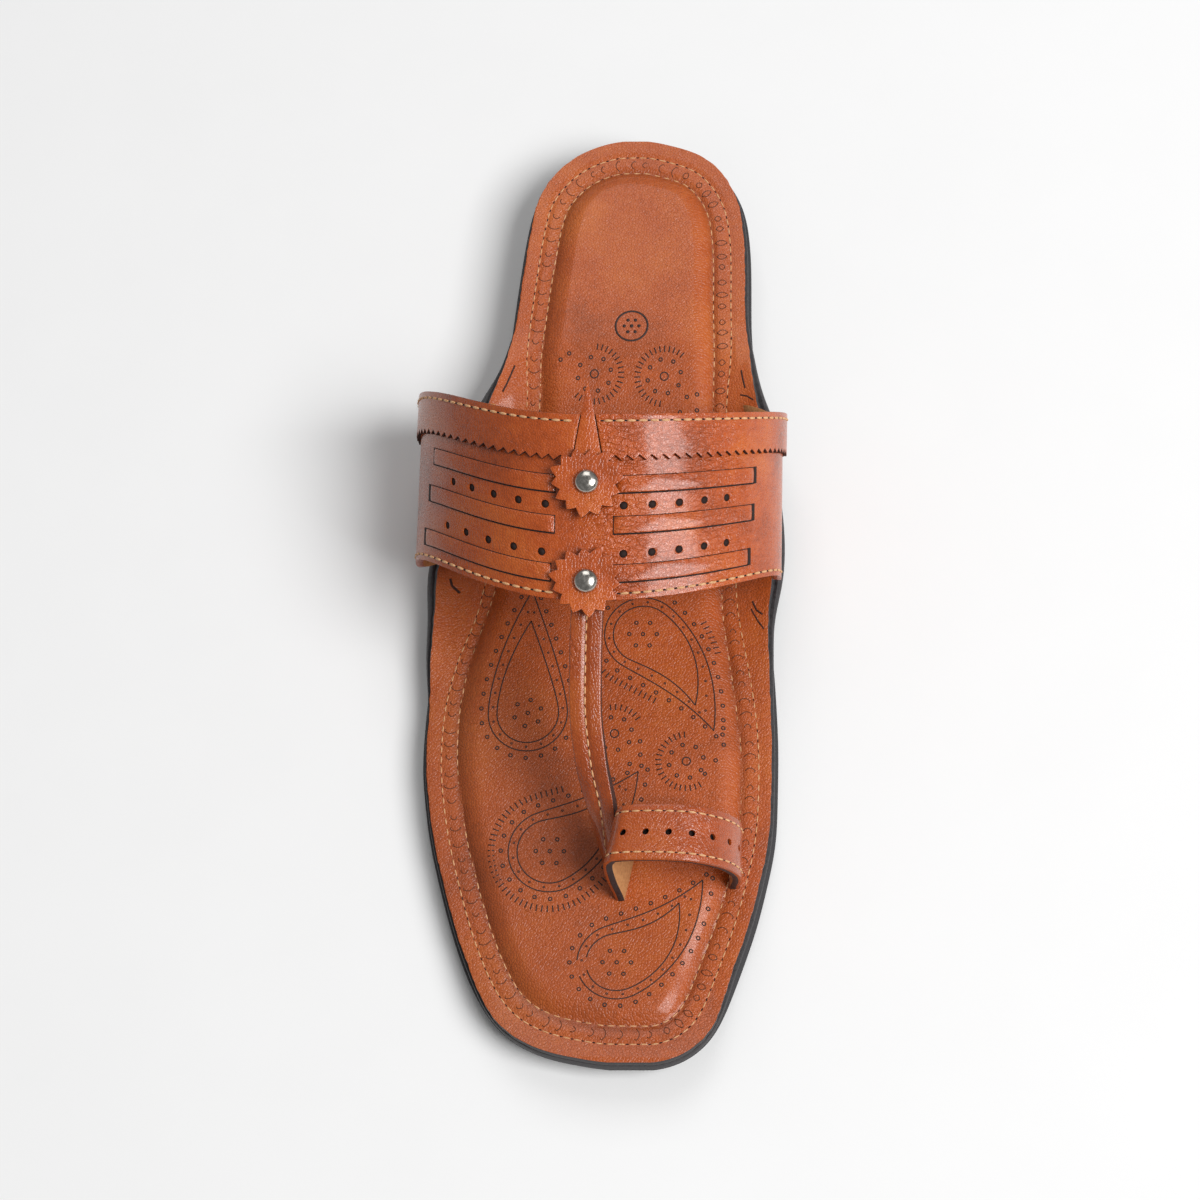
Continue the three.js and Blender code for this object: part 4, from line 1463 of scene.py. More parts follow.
@dataclass
class Sole:
    """Outsole, heel block and midsole under the footbed."""

    columns: int = 24
    rows: int = 170
    outsole_margin: float = 1.9
    outsole_toe: float = -0.8
    outsole_heel: float = 0.3
    outsole_bevel: float = 1.2
    heel_length: float = 79.0
    heel_taper: float = 1.5
    midsole_margin: float = 0.9
    midsole_ends: float = 0.7
    midsole_bulge: float = 0.25

    def build(self) -> None:
        """Builds the three layers."""
        self.build_outsole()
        self.build_heel()
        self.build_midsole()

    def build_outsole(self) -> None:
        """Builds the rubber outsole with a groove round its side."""
        work = FlatWork()
        work.grid(self.columns, self.rows, (0, 0), (1, 1))
        work.thicken(len(OUTSOLE_SIDE) - 1)
        insets = sorted({side.inset for side in OUTSOLE_SIDE})
        plans = [
            SolePlan(LAST.bare_half_width, self.outsole_margin - inset, self.outsole_toe, self.outsole_heel)
            for inset in insets
        ]

        def place(across: Array, along: Array, level: Array) -> Array:
            """Points of the outsole, grooved round its side.

            Args:
                across: share across the sole.
                along: share of the turn from toe to heel.
                level: 0 underneath, 1 on top.

            Returns:
                Rows of points.
            """
            steps = np.arange(len(OUTSOLE_SIDE))
            up, inset = (np.interp(level * steps[-1], steps, column) for column in zip(*OUTSOLE_SIDE))
            flats = np.array([plan.at(across, along) for plan in plans])
            x, y = (
                np.array([np.interp(i, insets, flats[:, k, n]) for n, i in enumerate(inset)])
                for k in (0, 1)
            )
            return points(x, y, LAST.seat(np.clip(y, 0, LAST.length)) + (up - 1) * LAST.outsole_thickness)

        piece = work.lay("rubber_outsole", place, ["rubber"], planar=True)
        attach(piece, "rubber", "outsole")

    def build_heel(self) -> None:
        """Builds the low heel block."""
        start = math.acos(1 - 2 * (1 - self.heel_length / LAST.length)) / math.pi
        top = SolePlan(LAST.bare_half_width, self.outsole_margin - self.outsole_bevel)
        bottom = SolePlan(LAST.bare_half_width, self.outsole_margin - self.outsole_bevel - self.heel_taper)
        work = FlatWork()
        work.grid(self.columns, 70, (0, start), (1, 1))
        work.thicken(5)

        def place(across: Array, along: Array, level: Array) -> Array:
            """Points of the heel, tapered downward.

            Args:
                across: share across the sole.
                along: share of the turn from toe to heel.
                level: 0 underneath, 1 on top.

            Returns:
                Rows of points.
            """
            low, high = bottom.at(across, along), top.at(across, along)
            x, y = mix(low[0], high[0], level), mix(low[1], high[1], level)
            ceiling = LAST.seat(np.clip(y, 0, LAST.length)) - LAST.outsole_thickness - LAST.layer_gap
            return points(x, y, ceiling * level)

        piece = work.lay("rubber_heel", place, ["rubber"], planar=True)
        round_edges(piece, 0.6)
        attach(piece, "rubber", "heel")

    def build_midsole(self) -> None:
        """Builds the leather board with a painted edge."""
        plan = SolePlan(LAST.eared_half_width, self.midsole_margin, self.midsole_ends, self.midsole_ends)
        work = FlatWork()
        work.grid(self.columns * 2, self.rows, (0, 0), (1, 1))
        work.thicken(3)

        def place(across: Array, along: Array, level: Array) -> Array:
            """Points of the board, its painted edge a little round.

            Args:
                across: share across the sole.
                along: share of the turn from toe to heel.
                level: 0 underneath, 1 on top.

            Returns:
                Rows of points.
            """
            x, y = plan.at(across, along)
            bulge = self.midsole_bulge * np.sin(level * np.pi) * np.sign(across - 0.5) * (
                np.abs(across - 0.5) > 0.499
            )
            s = np.clip(y, 0, LAST.length)
            laid = LAST.over_bed(x + bulge, s, mix(LAST.midsole_low, LAST.midsole_high, level))
            laid[..., 1] += y - s
            return laid

        piece = work.lay("leather_midsole", place, ["edge_paint"], planar=True)
        round_edges(piece, 0.4)
        attach(piece, "edge_leather", "midsole")


@dataclass
class Footbed:
    """Padded leather footbed with two stitch rows, stamped loops between them and burnt ornament."""

    columns: int = 100
    rows: int = 220
    edge_margin: float = 0.2
    edge_toe: float = 1.4
    edge_heel: float = 1.4
    edge_wobble: float = 0.06
    stitch_pitch: float = 3.1
    stitch_length: float = 2.1
    thread_thickness: float = 0.44
    loop_pitch: float = 4.3
    loop_height: float = 3.6
    loop_bulge: float = 0.85
    loop_hook: float = 0.5
    loop_line_width: float = 0.24
    line_width: float = 0.35
    thin_line_width: float = 0.26
    line_gap: float = 2.55
    dot_pitch: float = 4.4
    dot_diameter: float = 1.0
    small_dot_diameter: float = 0.5
    dot_offset: float = 2.1
    tick_offset: float = 4.0
    tick_length: float = 1.9
    tick_pitch: float = 1.55
    oval_stretches: tuple[tuple[float, float], ...] = ((0.53, 0.66), (0.93, 0.985))
    cluster_radius: float = 4.0
    # Painted shade: darkening along the inner stitch row's channel, in the curled ears and at the toe's
    # outer side
    channel_burnish: tuple[float, float] = (0.3, 1.1)
    ear_burnish: float = 0.22
    toe_burnish: float = 0.2
    toe_wrinkle: float = 0.9
    inner_tip_back: float = 9.4
    dot_line_tip_back: float = 4.7
    outer_dots_tip_ahead: float = 4.0
    ticks_tip_ahead: float = 6.0
    rosette_centre: float = 2.4
    rosette_dots: int = 8
    rosette_radius: float = 5.0
    rosette_tick_from: float = 7.1
    rosette_tick_to: float = 8.9
    ring_mark_at: tuple[float, float] = (-0.9, 219.9)
    ring_mark_diameter: float = 9.6
    ring_mark_line: float = 0.6
    flower_middle: float = 1.2
    flower_petal: float = 1.1
    flower_reach: float = 2.2

    def build(self) -> None:
        """Builds the footbed and everything sewn or stamped on it."""
        self.build_leather()
        self.sew_rows()
        self.stamp()

    def build_leather(self) -> None:
        """Builds the padded leather sheet."""
        plan = SolePlan(LAST.eared_half_width, self.edge_margin, self.edge_toe, self.edge_heel)
        work = FlatWork()
        work.grid(self.columns, self.rows, (0, 0), (1, 1))
        work.thicken(2)

        def place(across: Array, along: Array, level: Array) -> Array:
            """Points of the padded sheet, its cut rim uneven.

            Args:
                across: share across the sole.
                along: share of the turn from toe to heel.
                level: 0 underneath, 1 on top.

            Returns:
                Rows of points.
            """
            x, y = plan.at(across, along)
            s = np.clip(y, 0, LAST.length)
            rim = (np.abs(across - 0.5) > 0.499) | (along < 0.001) | (along > 0.999)
            wobble = np.sin(s * 1.31) + np.sin(s * 2.17 + 1) + np.sin(s * 0.53 + 2)
            x = x + rim * np.sign(across - 0.5) * self.edge_wobble * wobble
            top = LAST.insole_high + LAST.pad(x, s)
            laid = LAST.over_bed(x, s, mix(LAST.insole_low, top, level))
            laid[..., 1] += y - s
            return laid

        piece = work.lay("padded_footbed", place, ["footbed", "edge_paint", "lining"], planar=True)
        round_edges(piece, 0.45)
        paint(piece, "burnish", self.shade)
        paint(piece, "wrinkle", self.wrinkle)
        attach(piece, "footbed_leather", "insole")

    def shade(self, at: Array) -> Array:
        """Painted shade on the footbed: darker along the inner stitch row's channel, in the curled ears and
        at the toe's outer side beside the band.

        Args:
            at: rows of points in last coordinates.

        Returns:
            Shares of darkening.
        """
        x, s = at[:, 0], at[:, 1]
        depth = LAST.inside(x, s)
        row = LAST.row_depth(x, s, "pad")
        ears = self.ear_burnish * smooth(-1, -7, depth)
        toe = self.toe_burnish * smooth(20, -35, x) * smooth(150, 90, s)
        return swell(depth - row, *self.channel_burnish) + ears + toe

    def wrinkle(self, at: Array) -> Array:
        """How strongly the glaze is crinkled: most on the roll at the toe's inner corner."""
        x, s = at[:, 0], at[:, 1]
        return swell(x - 17, self.toe_wrinkle, 14) * swell(s - 14, 1, 11)

    def row_path(self, row: str, samples: int = 500) -> Array:
        """Plan path of a stitch row round the footbed.

        Args:
            row: rim or pad.
            samples: points of the outline on each side.

        Returns:
            Rows of x and s, the last beside the first.
        """
        loop = LAST.outline(samples)
        ahead = np.roll(loop, -3, axis=0) - np.roll(loop, 3, axis=0)
        inward = unit(np.stack([ahead[:, 1], -ahead[:, 0]], axis=1))
        path = loop + inward * LAST.row_depth(loop[:, 0], loop[:, 1], row)[:, None]
        weights = np.hanning(25) / np.hanning(25).sum()
        padded = np.concatenate([path[-12:], path, path[:12]])
        path = np.stack([np.convolve(padded[:, k], weights, mode="valid") for k in (0, 1)], axis=1)
        return np.concatenate([path, path[:1]])

    def sew_rows(self) -> None:
        """Sews the two rows of stitches."""
        sewing = Thread()
        for row in ("rim", "pad"):
            path = self.row_path(row)
            sewing.sew(
                LAST.footbed_top, path[:, 0], path[:, 1], self.stitch_pitch, self.stitch_length,
                self.thread_thickness, shown=0.7
            )
        sewing.finish("footbed", "footbed_leather")

    def stamp(self) -> None:
        """Stamps the loops, the paisleys, the rosettes and the ring mark."""
        loops, work = FlatWork(), FlatWork()
        self.draw_loops(loops)
        loops.thicken()
        for row in PAISLEYS:
            self.draw_paisley(work, row)
        for rosette in ROSETTES:
            self.draw_rosette(work, rosette)
        for dot in DOTS:
            work.circle(dot.x, dot.s, self.dot_diameter, self.line_width)
        self.draw_ring_mark(work)
        work.thicken()
        for drawn, name, finish in ((work, "burnt_ornament", "burnt"), (loops, "stamped_loops", "pressed")):
            piece = drawn.lay(
                name, lambda x, s, level: LAST.footbed_top(x, s, mix(-0.12, 0.05, level)), [finish]
            )
            attach(piece, "footbed_leather")
        self.mark_ears()

    def mark_ears(self) -> None:
        """Draws lines of painted shade in the folds and slits where the ears bend up beside the band's
        feet.
        """
        work = FlatWork()
        for path, width in EAR_FOLDS:
            ends = np.array(path)
            at = np.linspace(0, len(ends) - 1, 16)
            work.line(
                np.stack([np.interp(at, np.arange(len(ends)), ends[:, k]) for k in (0, 1)], axis=1), width
            )
        work.thicken()
        piece = work.lay(
            "ear_folds", lambda x, s, level: LAST.footbed_top(x, s, mix(-0.15, 0.04, level)), ["cut_edge"]
        )
        attach(piece, "footbed_leather")

    def draw_loops(self, work: FlatWork) -> None:
        """Draws the small arcs between the stitch rows."""
        rim, pad = self.row_path("rim"), self.row_path("pad")
        middle = (rim + pad) / 2
        travelled = arc_length(middle)
        count = int(travelled[-1] / self.loop_pitch)
        bend = np.linspace(-1, 1, 8)
        hooked = np.append(bend, 0.8)
        for k in range(count):
            at = (k + 0.5 + 0.12 * math.sin(k * 2.3)) * travelled[-1] / count
            centre = np.array([np.interp(at, travelled, middle[:, i]) for i in (0, 1)])
            ahead = np.array([np.interp(at + 0.8, travelled, middle[:, i]) for i in (0, 1)]) - centre
            ahead = unit(ahead)
            aside = np.array([-ahead[1], ahead[0]])
            height = self.loop_height * (0.75 + 0.25 * math.sin(k * 1.7))
            bulge = -self.loop_bulge * (1 - bend**2)
            hook = np.append(bulge, bulge[-1] + self.loop_hook)
            arc = centre + np.outer(hooked * height / 2, aside) + np.outer(hook, ahead)
            work.line(arc, self.loop_line_width)
            if self.is_oval(k / count):
                arc = centre + np.outer(bend * height / 2, aside) - np.outer(bulge, ahead)
                work.line(arc, self.loop_line_width)

    def is_oval(self, share: float) -> bool:
        """Whether the mark at a share of the way round is a closed oval instead of an arc."""
        return any(start <= share <= end for start, end in self.oval_stretches)

    def paisley_outline(self, row: PaisleyRow, grow: float, tip_back: float) -> Array:
        """Outline of a paisley, from its tip round the bulb and back.

        Args:
            row: the paisley.
            grow: how far the outline lies outside the outer line.
            tip_back: how far its tip is drawn back toward the bulb.

        Returns:
            Rows of x and s.
        """
        centre, tip = np.array([row.x, row.s]), np.array([row.tip_x, row.tip_s])
        ahead = unit(tip - centre)
        aside = np.array([-ahead[1], ahead[0]])
        tip = tip - ahead * tip_back
        middle = (centre + tip) / 2 + aside * row.bend * 2
        f = np.linspace(0, 1, 24)[:, None]
        axis = (1 - f) ** 2 * centre + 2 * f * (1 - f) * middle + f**2 * tip
        run = unit(np.gradient(axis, axis=0))
        square = np.stack([-run[:, 1], run[:, 0]], axis=1)
        half = (row.radius + grow) * (1 - f**1.5)
        left, right = axis + square * half, axis - square * half
        start = math.atan2(square[0][1], square[0][0])
        turn = np.linspace(0, np.pi, 22)[1:-1, None]
        round_back = centre + (row.radius + grow) * np.concatenate(
            [np.cos(start + turn), np.sin(start + turn)], axis=1
        )
        return np.concatenate([left[::-1], round_back, right])

    def evenly(self, path: Array, pitch: float, low: float = 0.0, high: float = 1.0) -> tuple[Array, Array]:
        """Even places along part of a path, and the directions square to it.

        Args:
            path: rows of points.
            pitch: distance between places.
            low: share of the path where they start.
            high: share where they end.

        Returns:
            The places and the directions.
        """
        travelled = arc_length(path)
        count = max(int((high - low) * travelled[-1] / pitch), 1)
        at = (low + (np.arange(count) + 0.5) / count * (high - low)) * travelled[-1]
        places = np.stack([np.interp(at, travelled, path[:, k]) for k in (0, 1)], axis=1)
        ahead = np.stack([np.interp(at + 0.4, travelled, path[:, k]) for k in (0, 1)], axis=1) - places
        return places, unit(np.stack([ahead[:, 1], -ahead[:, 0]], axis=1))

    def draw_paisley(self, work: FlatWork, row: PaisleyRow) -> None:
        """Draws a paisley's double line, its dots and ticks.

        Args:
            work: the drawing.
            row: the paisley.
        """
        for grow, back in ((0.0, 0.0), (-self.line_gap, self.inner_tip_back)):
            outline = self.paisley_outline(row, grow, back)
            pieces = [outline]
            if row.break_to > row.break_from:
                first, last = (int(share * len(outline)) for share in (row.break_from, row.break_to))
                pieces = [outline[:first], outline[last:]]
            for piece in pieces:
                work.line(piece, self.line_width)
        inner = self.paisley_outline(row, -self.line_gap / 2, self.dot_line_tip_back)
        between, _ = self.evenly(inner, self.dot_pitch)
        for x, s in between:
            work.circle(x, s, self.small_dot_diameter, self.thin_line_width, sides=8)
        outer = self.paisley_outline(row, self.dot_offset, -self.outer_dots_tip_ahead)
        outside, _ = self.evenly(outer, self.dot_pitch)
        for x, s in outside:
            work.circle(x, s, self.dot_diameter, self.line_width)
        for k in range(7):
            turn = math.radians(row.turn + 60 * k)
            reach = 0.0 if k == 6 else self.cluster_radius
            x, s = row.x + reach * math.cos(turn), row.s + reach * math.sin(turn)
            work.circle(x, s, self.dot_diameter, self.line_width)
        grow = self.tick_offset + self.tick_length / 2
        outline = self.paisley_outline(row, grow, -self.ticks_tip_ahead)
        for low, high in row.ticks:
            for place, way in zip(*self.evenly(outline, self.tick_pitch, low, high)):
                reach = way * self.tick_length / 2
                work.line(np.array([place - reach, place + reach]), self.line_width)

    def draw_rosette(self, work: FlatWork, row: RosetteRow) -> None:
        """Draws a rosette: a centre ring, a ring of dots and an arc of ticks.

        Args:
            work: the drawing.
            row: the rosette.
        """
        work.circle(row.x, row.s, self.rosette_centre, self.line_width, sides=14)
        for k in range(self.rosette_dots):
            turn = 2 * math.pi * (k + 0.3) / self.rosette_dots
            x = row.x + self.rosette_radius * math.cos(turn)
            s = row.s + self.rosette_radius * math.sin(turn)
            work.circle(x, s, self.dot_diameter, self.line_width)
        length = math.radians(row.ticks_to - row.ticks_from) * self.rosette_tick_to
        count = int(length / self.tick_pitch)
        for k in range(count + 1):
            turn = math.radians(row.ticks_from + (row.ticks_to - row.ticks_from) * k / count)
            way = np.array([math.cos(turn), math.sin(turn)])
            centre = np.array([row.x, row.s])
            ends = [centre + way * self.rosette_tick_from, centre + way * self.rosette_tick_to]
            work.line(np.array(ends), self.line_width)

    def draw_ring_mark(self, work: FlatWork) -> None:
        """Draws the ring mark with a plain flower of dots in it."""
        x, s = self.ring_mark_at
        work.circle(x, s, self.ring_mark_diameter, self.ring_mark_line, sides=40)
        work.spot(x, s, self.flower_middle)
        for k in range(6):
            turn = math.radians(60 * k)
            across, along = self.flower_reach * math.cos(turn), self.flower_reach * math.sin(turn)
            work.spot(x + across, s + along, self.flower_petal)


@dataclass
class InstepBand:
    """The instep band with its woven strips, punched holes, pinked overlays and spike."""

    columns: int = 300
    rows: int = 74
    hole_diameter: float = 2.35
    strip_width: float = 4.8
    strip_raise: float = 0.7
    strip_dive: float = 0.5
    strip_crown: float = 0.15
    # Painted shade in the slots at the strips' ends, and painted shadow along the strips' long sides
    slot_width: float = 1.6
    outer_slot_width: float = 1.8
    thin_slot_width: float = 0.6
    front_cut_width: float = 0.5
    rear_cut_width: float = 0.32
    overlay_thickness: float = 1.1
    overlay_front: float = 0.76
    overlay_end: float = 0.86
    overlay_lift: float = 0.1
    zigzag_pitch: float = 3.6
    zigzag_depth: float = 1.6
    spike_width: float = 8.4
    spike_past_edge: float = 10.0
    spike_start: float = 0.55
    spike_ridge: tuple[float, float] = (0.5, 2.2)
    stitch_pitch: float = 3.2
    stitch_length: float = 2.6
    thread_thickness: float = 0.85
    # Painted shade down the band's outer side
    outer_burnish: float = 0.3
    rivet_pull: float = 0.35
    rivet_pull_area: float = 60.0
    front_wave: float = 0.22
    rear_wave: float = 0.25
    wave_reach: float = 9.0

    def build(self) -> None:
        """Builds the band's pieces."""
        self.build_wall()
        self.build_strips()
        self.build_overlays()
        self.build_spike()
        self.sew()

    def dent(self, a: Array, b: Array) -> Array:
        """Soft hollows that the rivets pull into the band, and the slight waves of its long edges.

        Args:
            a: millimetres along the crown.
            b: millimetres across.

        Returns:
            Heights.
        """
        stars = np.array([REAR_STAR, FRONT_STAR]) * BAND.width
        pulled = sum(
            self.rivet_pull * np.exp(-(a**2 + (b - star) ** 2) / self.rivet_pull_area) for star in stars
        )
        rear = np.sin(a / 13.0 + 0.6) * swell(b - BAND.width, self.rear_wave, self.wave_reach)
        front = np.sin(a / 11.0 + 2.0) * swell(b, self.front_wave, self.wave_reach)
        arch = BAND.arch_share * BAND.length_per_run
        fade = (np.abs(a) < arch) * np.cos(np.clip(a / arch, -1, 1) * np.pi / 2)
        return (rear + front - pulled) * fade

    def over(self, a: Array, b: Array, height: Array) -> Array:
        """Points over the band's leather, hollows and waves among it."""
        return BAND.over(a, b, self.dent(a, b) + height)

    def hole_places(self) -> list[tuple[float, float]]:
        """Places of the punched holes on the band."""
        places = []
        for row in HOLES:
            for k in range(HOLES_IN_ROW):
                places.append((BAND.along(row.outer_first + k * row.outer_step), row.across * BAND.width))
                places.append((BAND.along(row.inner_first + k * row.inner_step), row.across * BAND.width))
        return places

    def build_wall(self) -> None:
        """Builds the band itself."""
        reach = BAND.length_per_run
        work = FlatWork()
        work.grid(self.columns, self.rows, (-reach, 0), (reach, BAND.width))
        work.punch(self.hole_places(), self.hole_diameter)
        work.thicken(2)

        def place(a: Array, b: Array, level: Array) -> Array:
            """Points of the wall, whose face is at level 1."""
            return self.over(a, b, (level - 1) * BAND.thickness)

        piece = work.lay("instep_band", place, ["strap", "strap", "lining"])
        round_edges(piece, 0.4)
        paint(piece, "wrinkle", self.wrinkle)
        paint(piece, "burnish", self.shade)
        attach(piece, "strap_leather", "upper")
        lay_hole_shade("band_hole_bottoms", self.over, self.hole_places(), self.hole_diameter)

    def shade(self, at: Array) -> Array:
        """Painted shade: the band darker down its outer side, which faces away from the key light."""
        return self.outer_burnish * smooth(-12, -48, at[:, 0])

    def wrinkle(self, at: Array) -> Array:
        """How strongly the glaze is crinkled: most on the crown's inner half."""
        x = at[:, 0]
        return smooth(-14, 0, x) * (1 - 0.75 * smooth(22, 42, x))

    def build_strips(self) -> None:
        """Builds the six woven strips, with dark patches of painted shade in the slots that they dive into
        and ribbons of painted shadow along their sides.
        """
        strips, slots = FlatWork(), FlatWork()
        half = self.strip_width / 2
        for row in STRIPS:
            middle = row.across * BAND.width
            for outer, inner in ((row.outer_from, row.outer_to), (row.inner_to, row.inner_from)):
                low, high = sorted((BAND.along(outer), BAND.along(inner)))
                strips.grid(64, 8, (low, middle - half), (high, middle + half))
                a = np.linspace(low, high, 50)
                for side, width in ((-1, self.front_cut_width), (1, self.rear_cut_width)):
                    b = np.full_like(a, middle + side * (half + width / 2 - 0.08))
                    slots.line(np.stack([a, b], axis=1), width)
                out = math.copysign(1.0, outer - inner)
                thin = row is STRIPS[-1] and outer < 0
                wide = self.outer_slot_width if outer < 0 else self.slot_width
                foot_slot = self.thin_slot_width if thin else wide
                for angle, width, way in ((outer, foot_slot, out), (inner, self.rear_cut_width, -out)):
                    at = BAND.along(angle) + way * (width / 2 - 0.1)
                    b = np.linspace(middle - half - 0.3, middle + half + 0.3, 10)
                    slots.line(np.stack([np.full_like(b, at), b], axis=1), width)
        strips.thicken()
        slots.thicken()
        rows = np.array([row.across * BAND.width for row in STRIPS])
        ends = np.array([[BAND.along(angle) for angle in row[1:]] for row in STRIPS])

        def strip_place(a: Array, b: Array, level: Array) -> Array:
            """Points of the strips, diving at both ends.

            Args:
                a: millimetres along the crown.
                b: millimetres across the band.
                level: 0 underneath, 1 on top.

            Returns:
                Rows of points.
            """
            own = np.argmin(np.abs(b[:, None] - rows), axis=1)
            to_end = np.abs(a[:, None] - ends[own]).min(axis=1)
            dive = self.strip_dive * (1 - smooth(0.0, 1.6, to_end))
            crown = self.strip_crown * (1 - ((b - rows[own]) / half) ** 2)
            return self.over(a, b, mix(-0.8, self.strip_raise - 0.2 + crown, level) - dive)

        piece = strips.lay("woven_strips", strip_place, ["strap", "cut_edge"])
        round_edges(piece, 0.12)
        paint(piece, "wrinkle", self.wrinkle)
        paint(piece, "burnish", self.shade)
        attach(piece, "strap_leather")
        piece = slots.lay(
            "strip_slots", lambda a, b, level: self.over(a, b, mix(-0.1, 0.06, level)), ["shade"]
        )
        attach(piece, "strap_leather")

    def spike_half(self, b: Array) -> Array:
        """Half width of the spike at a place across the band.

        Args:
            b: millimetres across.

        Returns:
            Half widths.
        """
        tip = BAND.width + self.spike_past_edge
        widest = self.overlay_front * BAND.width - self.zigzag_depth
        taper = np.clip((tip - b) / (tip - widest), 0.03, 1)
        return self.spike_width / 2 * taper

    def build_overlays(self) -> None:
        """Builds the two overlay strips with their pinked front edges."""
        front = self.overlay_front * BAND.width
        reach = self.overlay_end * BAND.length_per_run
        teeth = round(reach / self.zigzag_pitch)
        names = {Side.OUTER: ("overlay_leather_lateral", "overlay_lateral")}
        names[Side.INNER] = ("overlay_leather_medial", "overlay_medial")
        for side, (name, node) in names.items():
            work = FlatWork()
            work.grid(teeth * 4, 16, (0, 0), (1, 1))

            def cut(t: Array, u: Array, side: Side = side) -> tuple[Array, Array]:
                """Cuts an overlay's outline, pinked along its front.

                Args:
                    t: share along the piece.
                    u: share from its inner to its outer edge.

                Returns:
                    Both coordinates on the band.
                """
                wave = np.abs((t * teeth) % 1.0 - 0.5) * 2
                edge = front + (wave - 0.5) * self.zigzag_depth
                b = mix(edge, BAND.width - 0.1, u)
                start = self.spike_half(b) + LAST.layer_gap
                return side.value * mix(start, reach, t), b

            work.warp(cut)
            work.thicken()

            def place(a: Array, b: Array, level: Array) -> Array:
                """Points of an overlay, whose pinked edge lifts a little."""
                lift = np.sin(a / 7.0) * swell(b - front, self.overlay_lift, 3.0)
                return self.over(a, b, LAST.layer_gap * 0.4 + lift + self.overlay_thickness * level)

            piece = work.lay(name, place, ["strap", "cut_edge", "lining"])
            round_edges(piece, 0.15)
            paint(piece, "wrinkle", self.wrinkle)
            paint(piece, "burnish", self.shade)
            attach(piece, "strap_leather", node)

    def build_spike(self) -> None:
        """Builds the long triangle under the rear star."""
        low, high = self.spike_start * BAND.width, BAND.width + self.spike_past_edge
        work = FlatWork()
        work.grid(12, 60, (-1, low), (1, high))
        work.warp(lambda t, b: (t * self.spike_half(b), b))
        work.thicken()

        def place(a: Array, b: Array, level: Array) -> Array:
            """Points of the spike, ridged along its middle."""
            ridge = swell(a, *self.spike_ridge) * smooth(low, high, b)
            return BAND.over(a, b, LAST.layer_gap + ridge + self.overlay_thickness * level)

        piece = work.lay("spike_leather", place, ["strap", "cut_edge", "lining"])
        round_edges(piece, 0.15)
        attach(piece, "strap_leather", "spike")

    def sew(self) -> None:
        """Sews the rows along the band's front and rear edges."""
        sewing = Thread()
        reach = BAND.arch_share * BAND.length_per_run
        top = LAST.layer_gap * 0.4 + self.overlay_thickness
        rows = (
            (-reach, -9.0, 1.7, 0.0), (9.0, reach, 1.7, 0.0), (-reach, -4.0, BAND.width - 2.1, top),
            (4.0, reach, BAND.width - 2.1, top)
        )
        for start, end, across, lift in rows:
            a = np.linspace(start, end, 160)
            b = np.full_like(a, across)
            sewing.sew(
                lambda a, b, height, lift=lift: self.over(a, b, height + lift), a, b, self.stitch_pitch,
                self.stitch_length, self.thread_thickness, hole=0.8
            )
        sewing.finish("band", "strap_leather")


REAR_STAR = 0.63
FRONT_STAR = 0.1


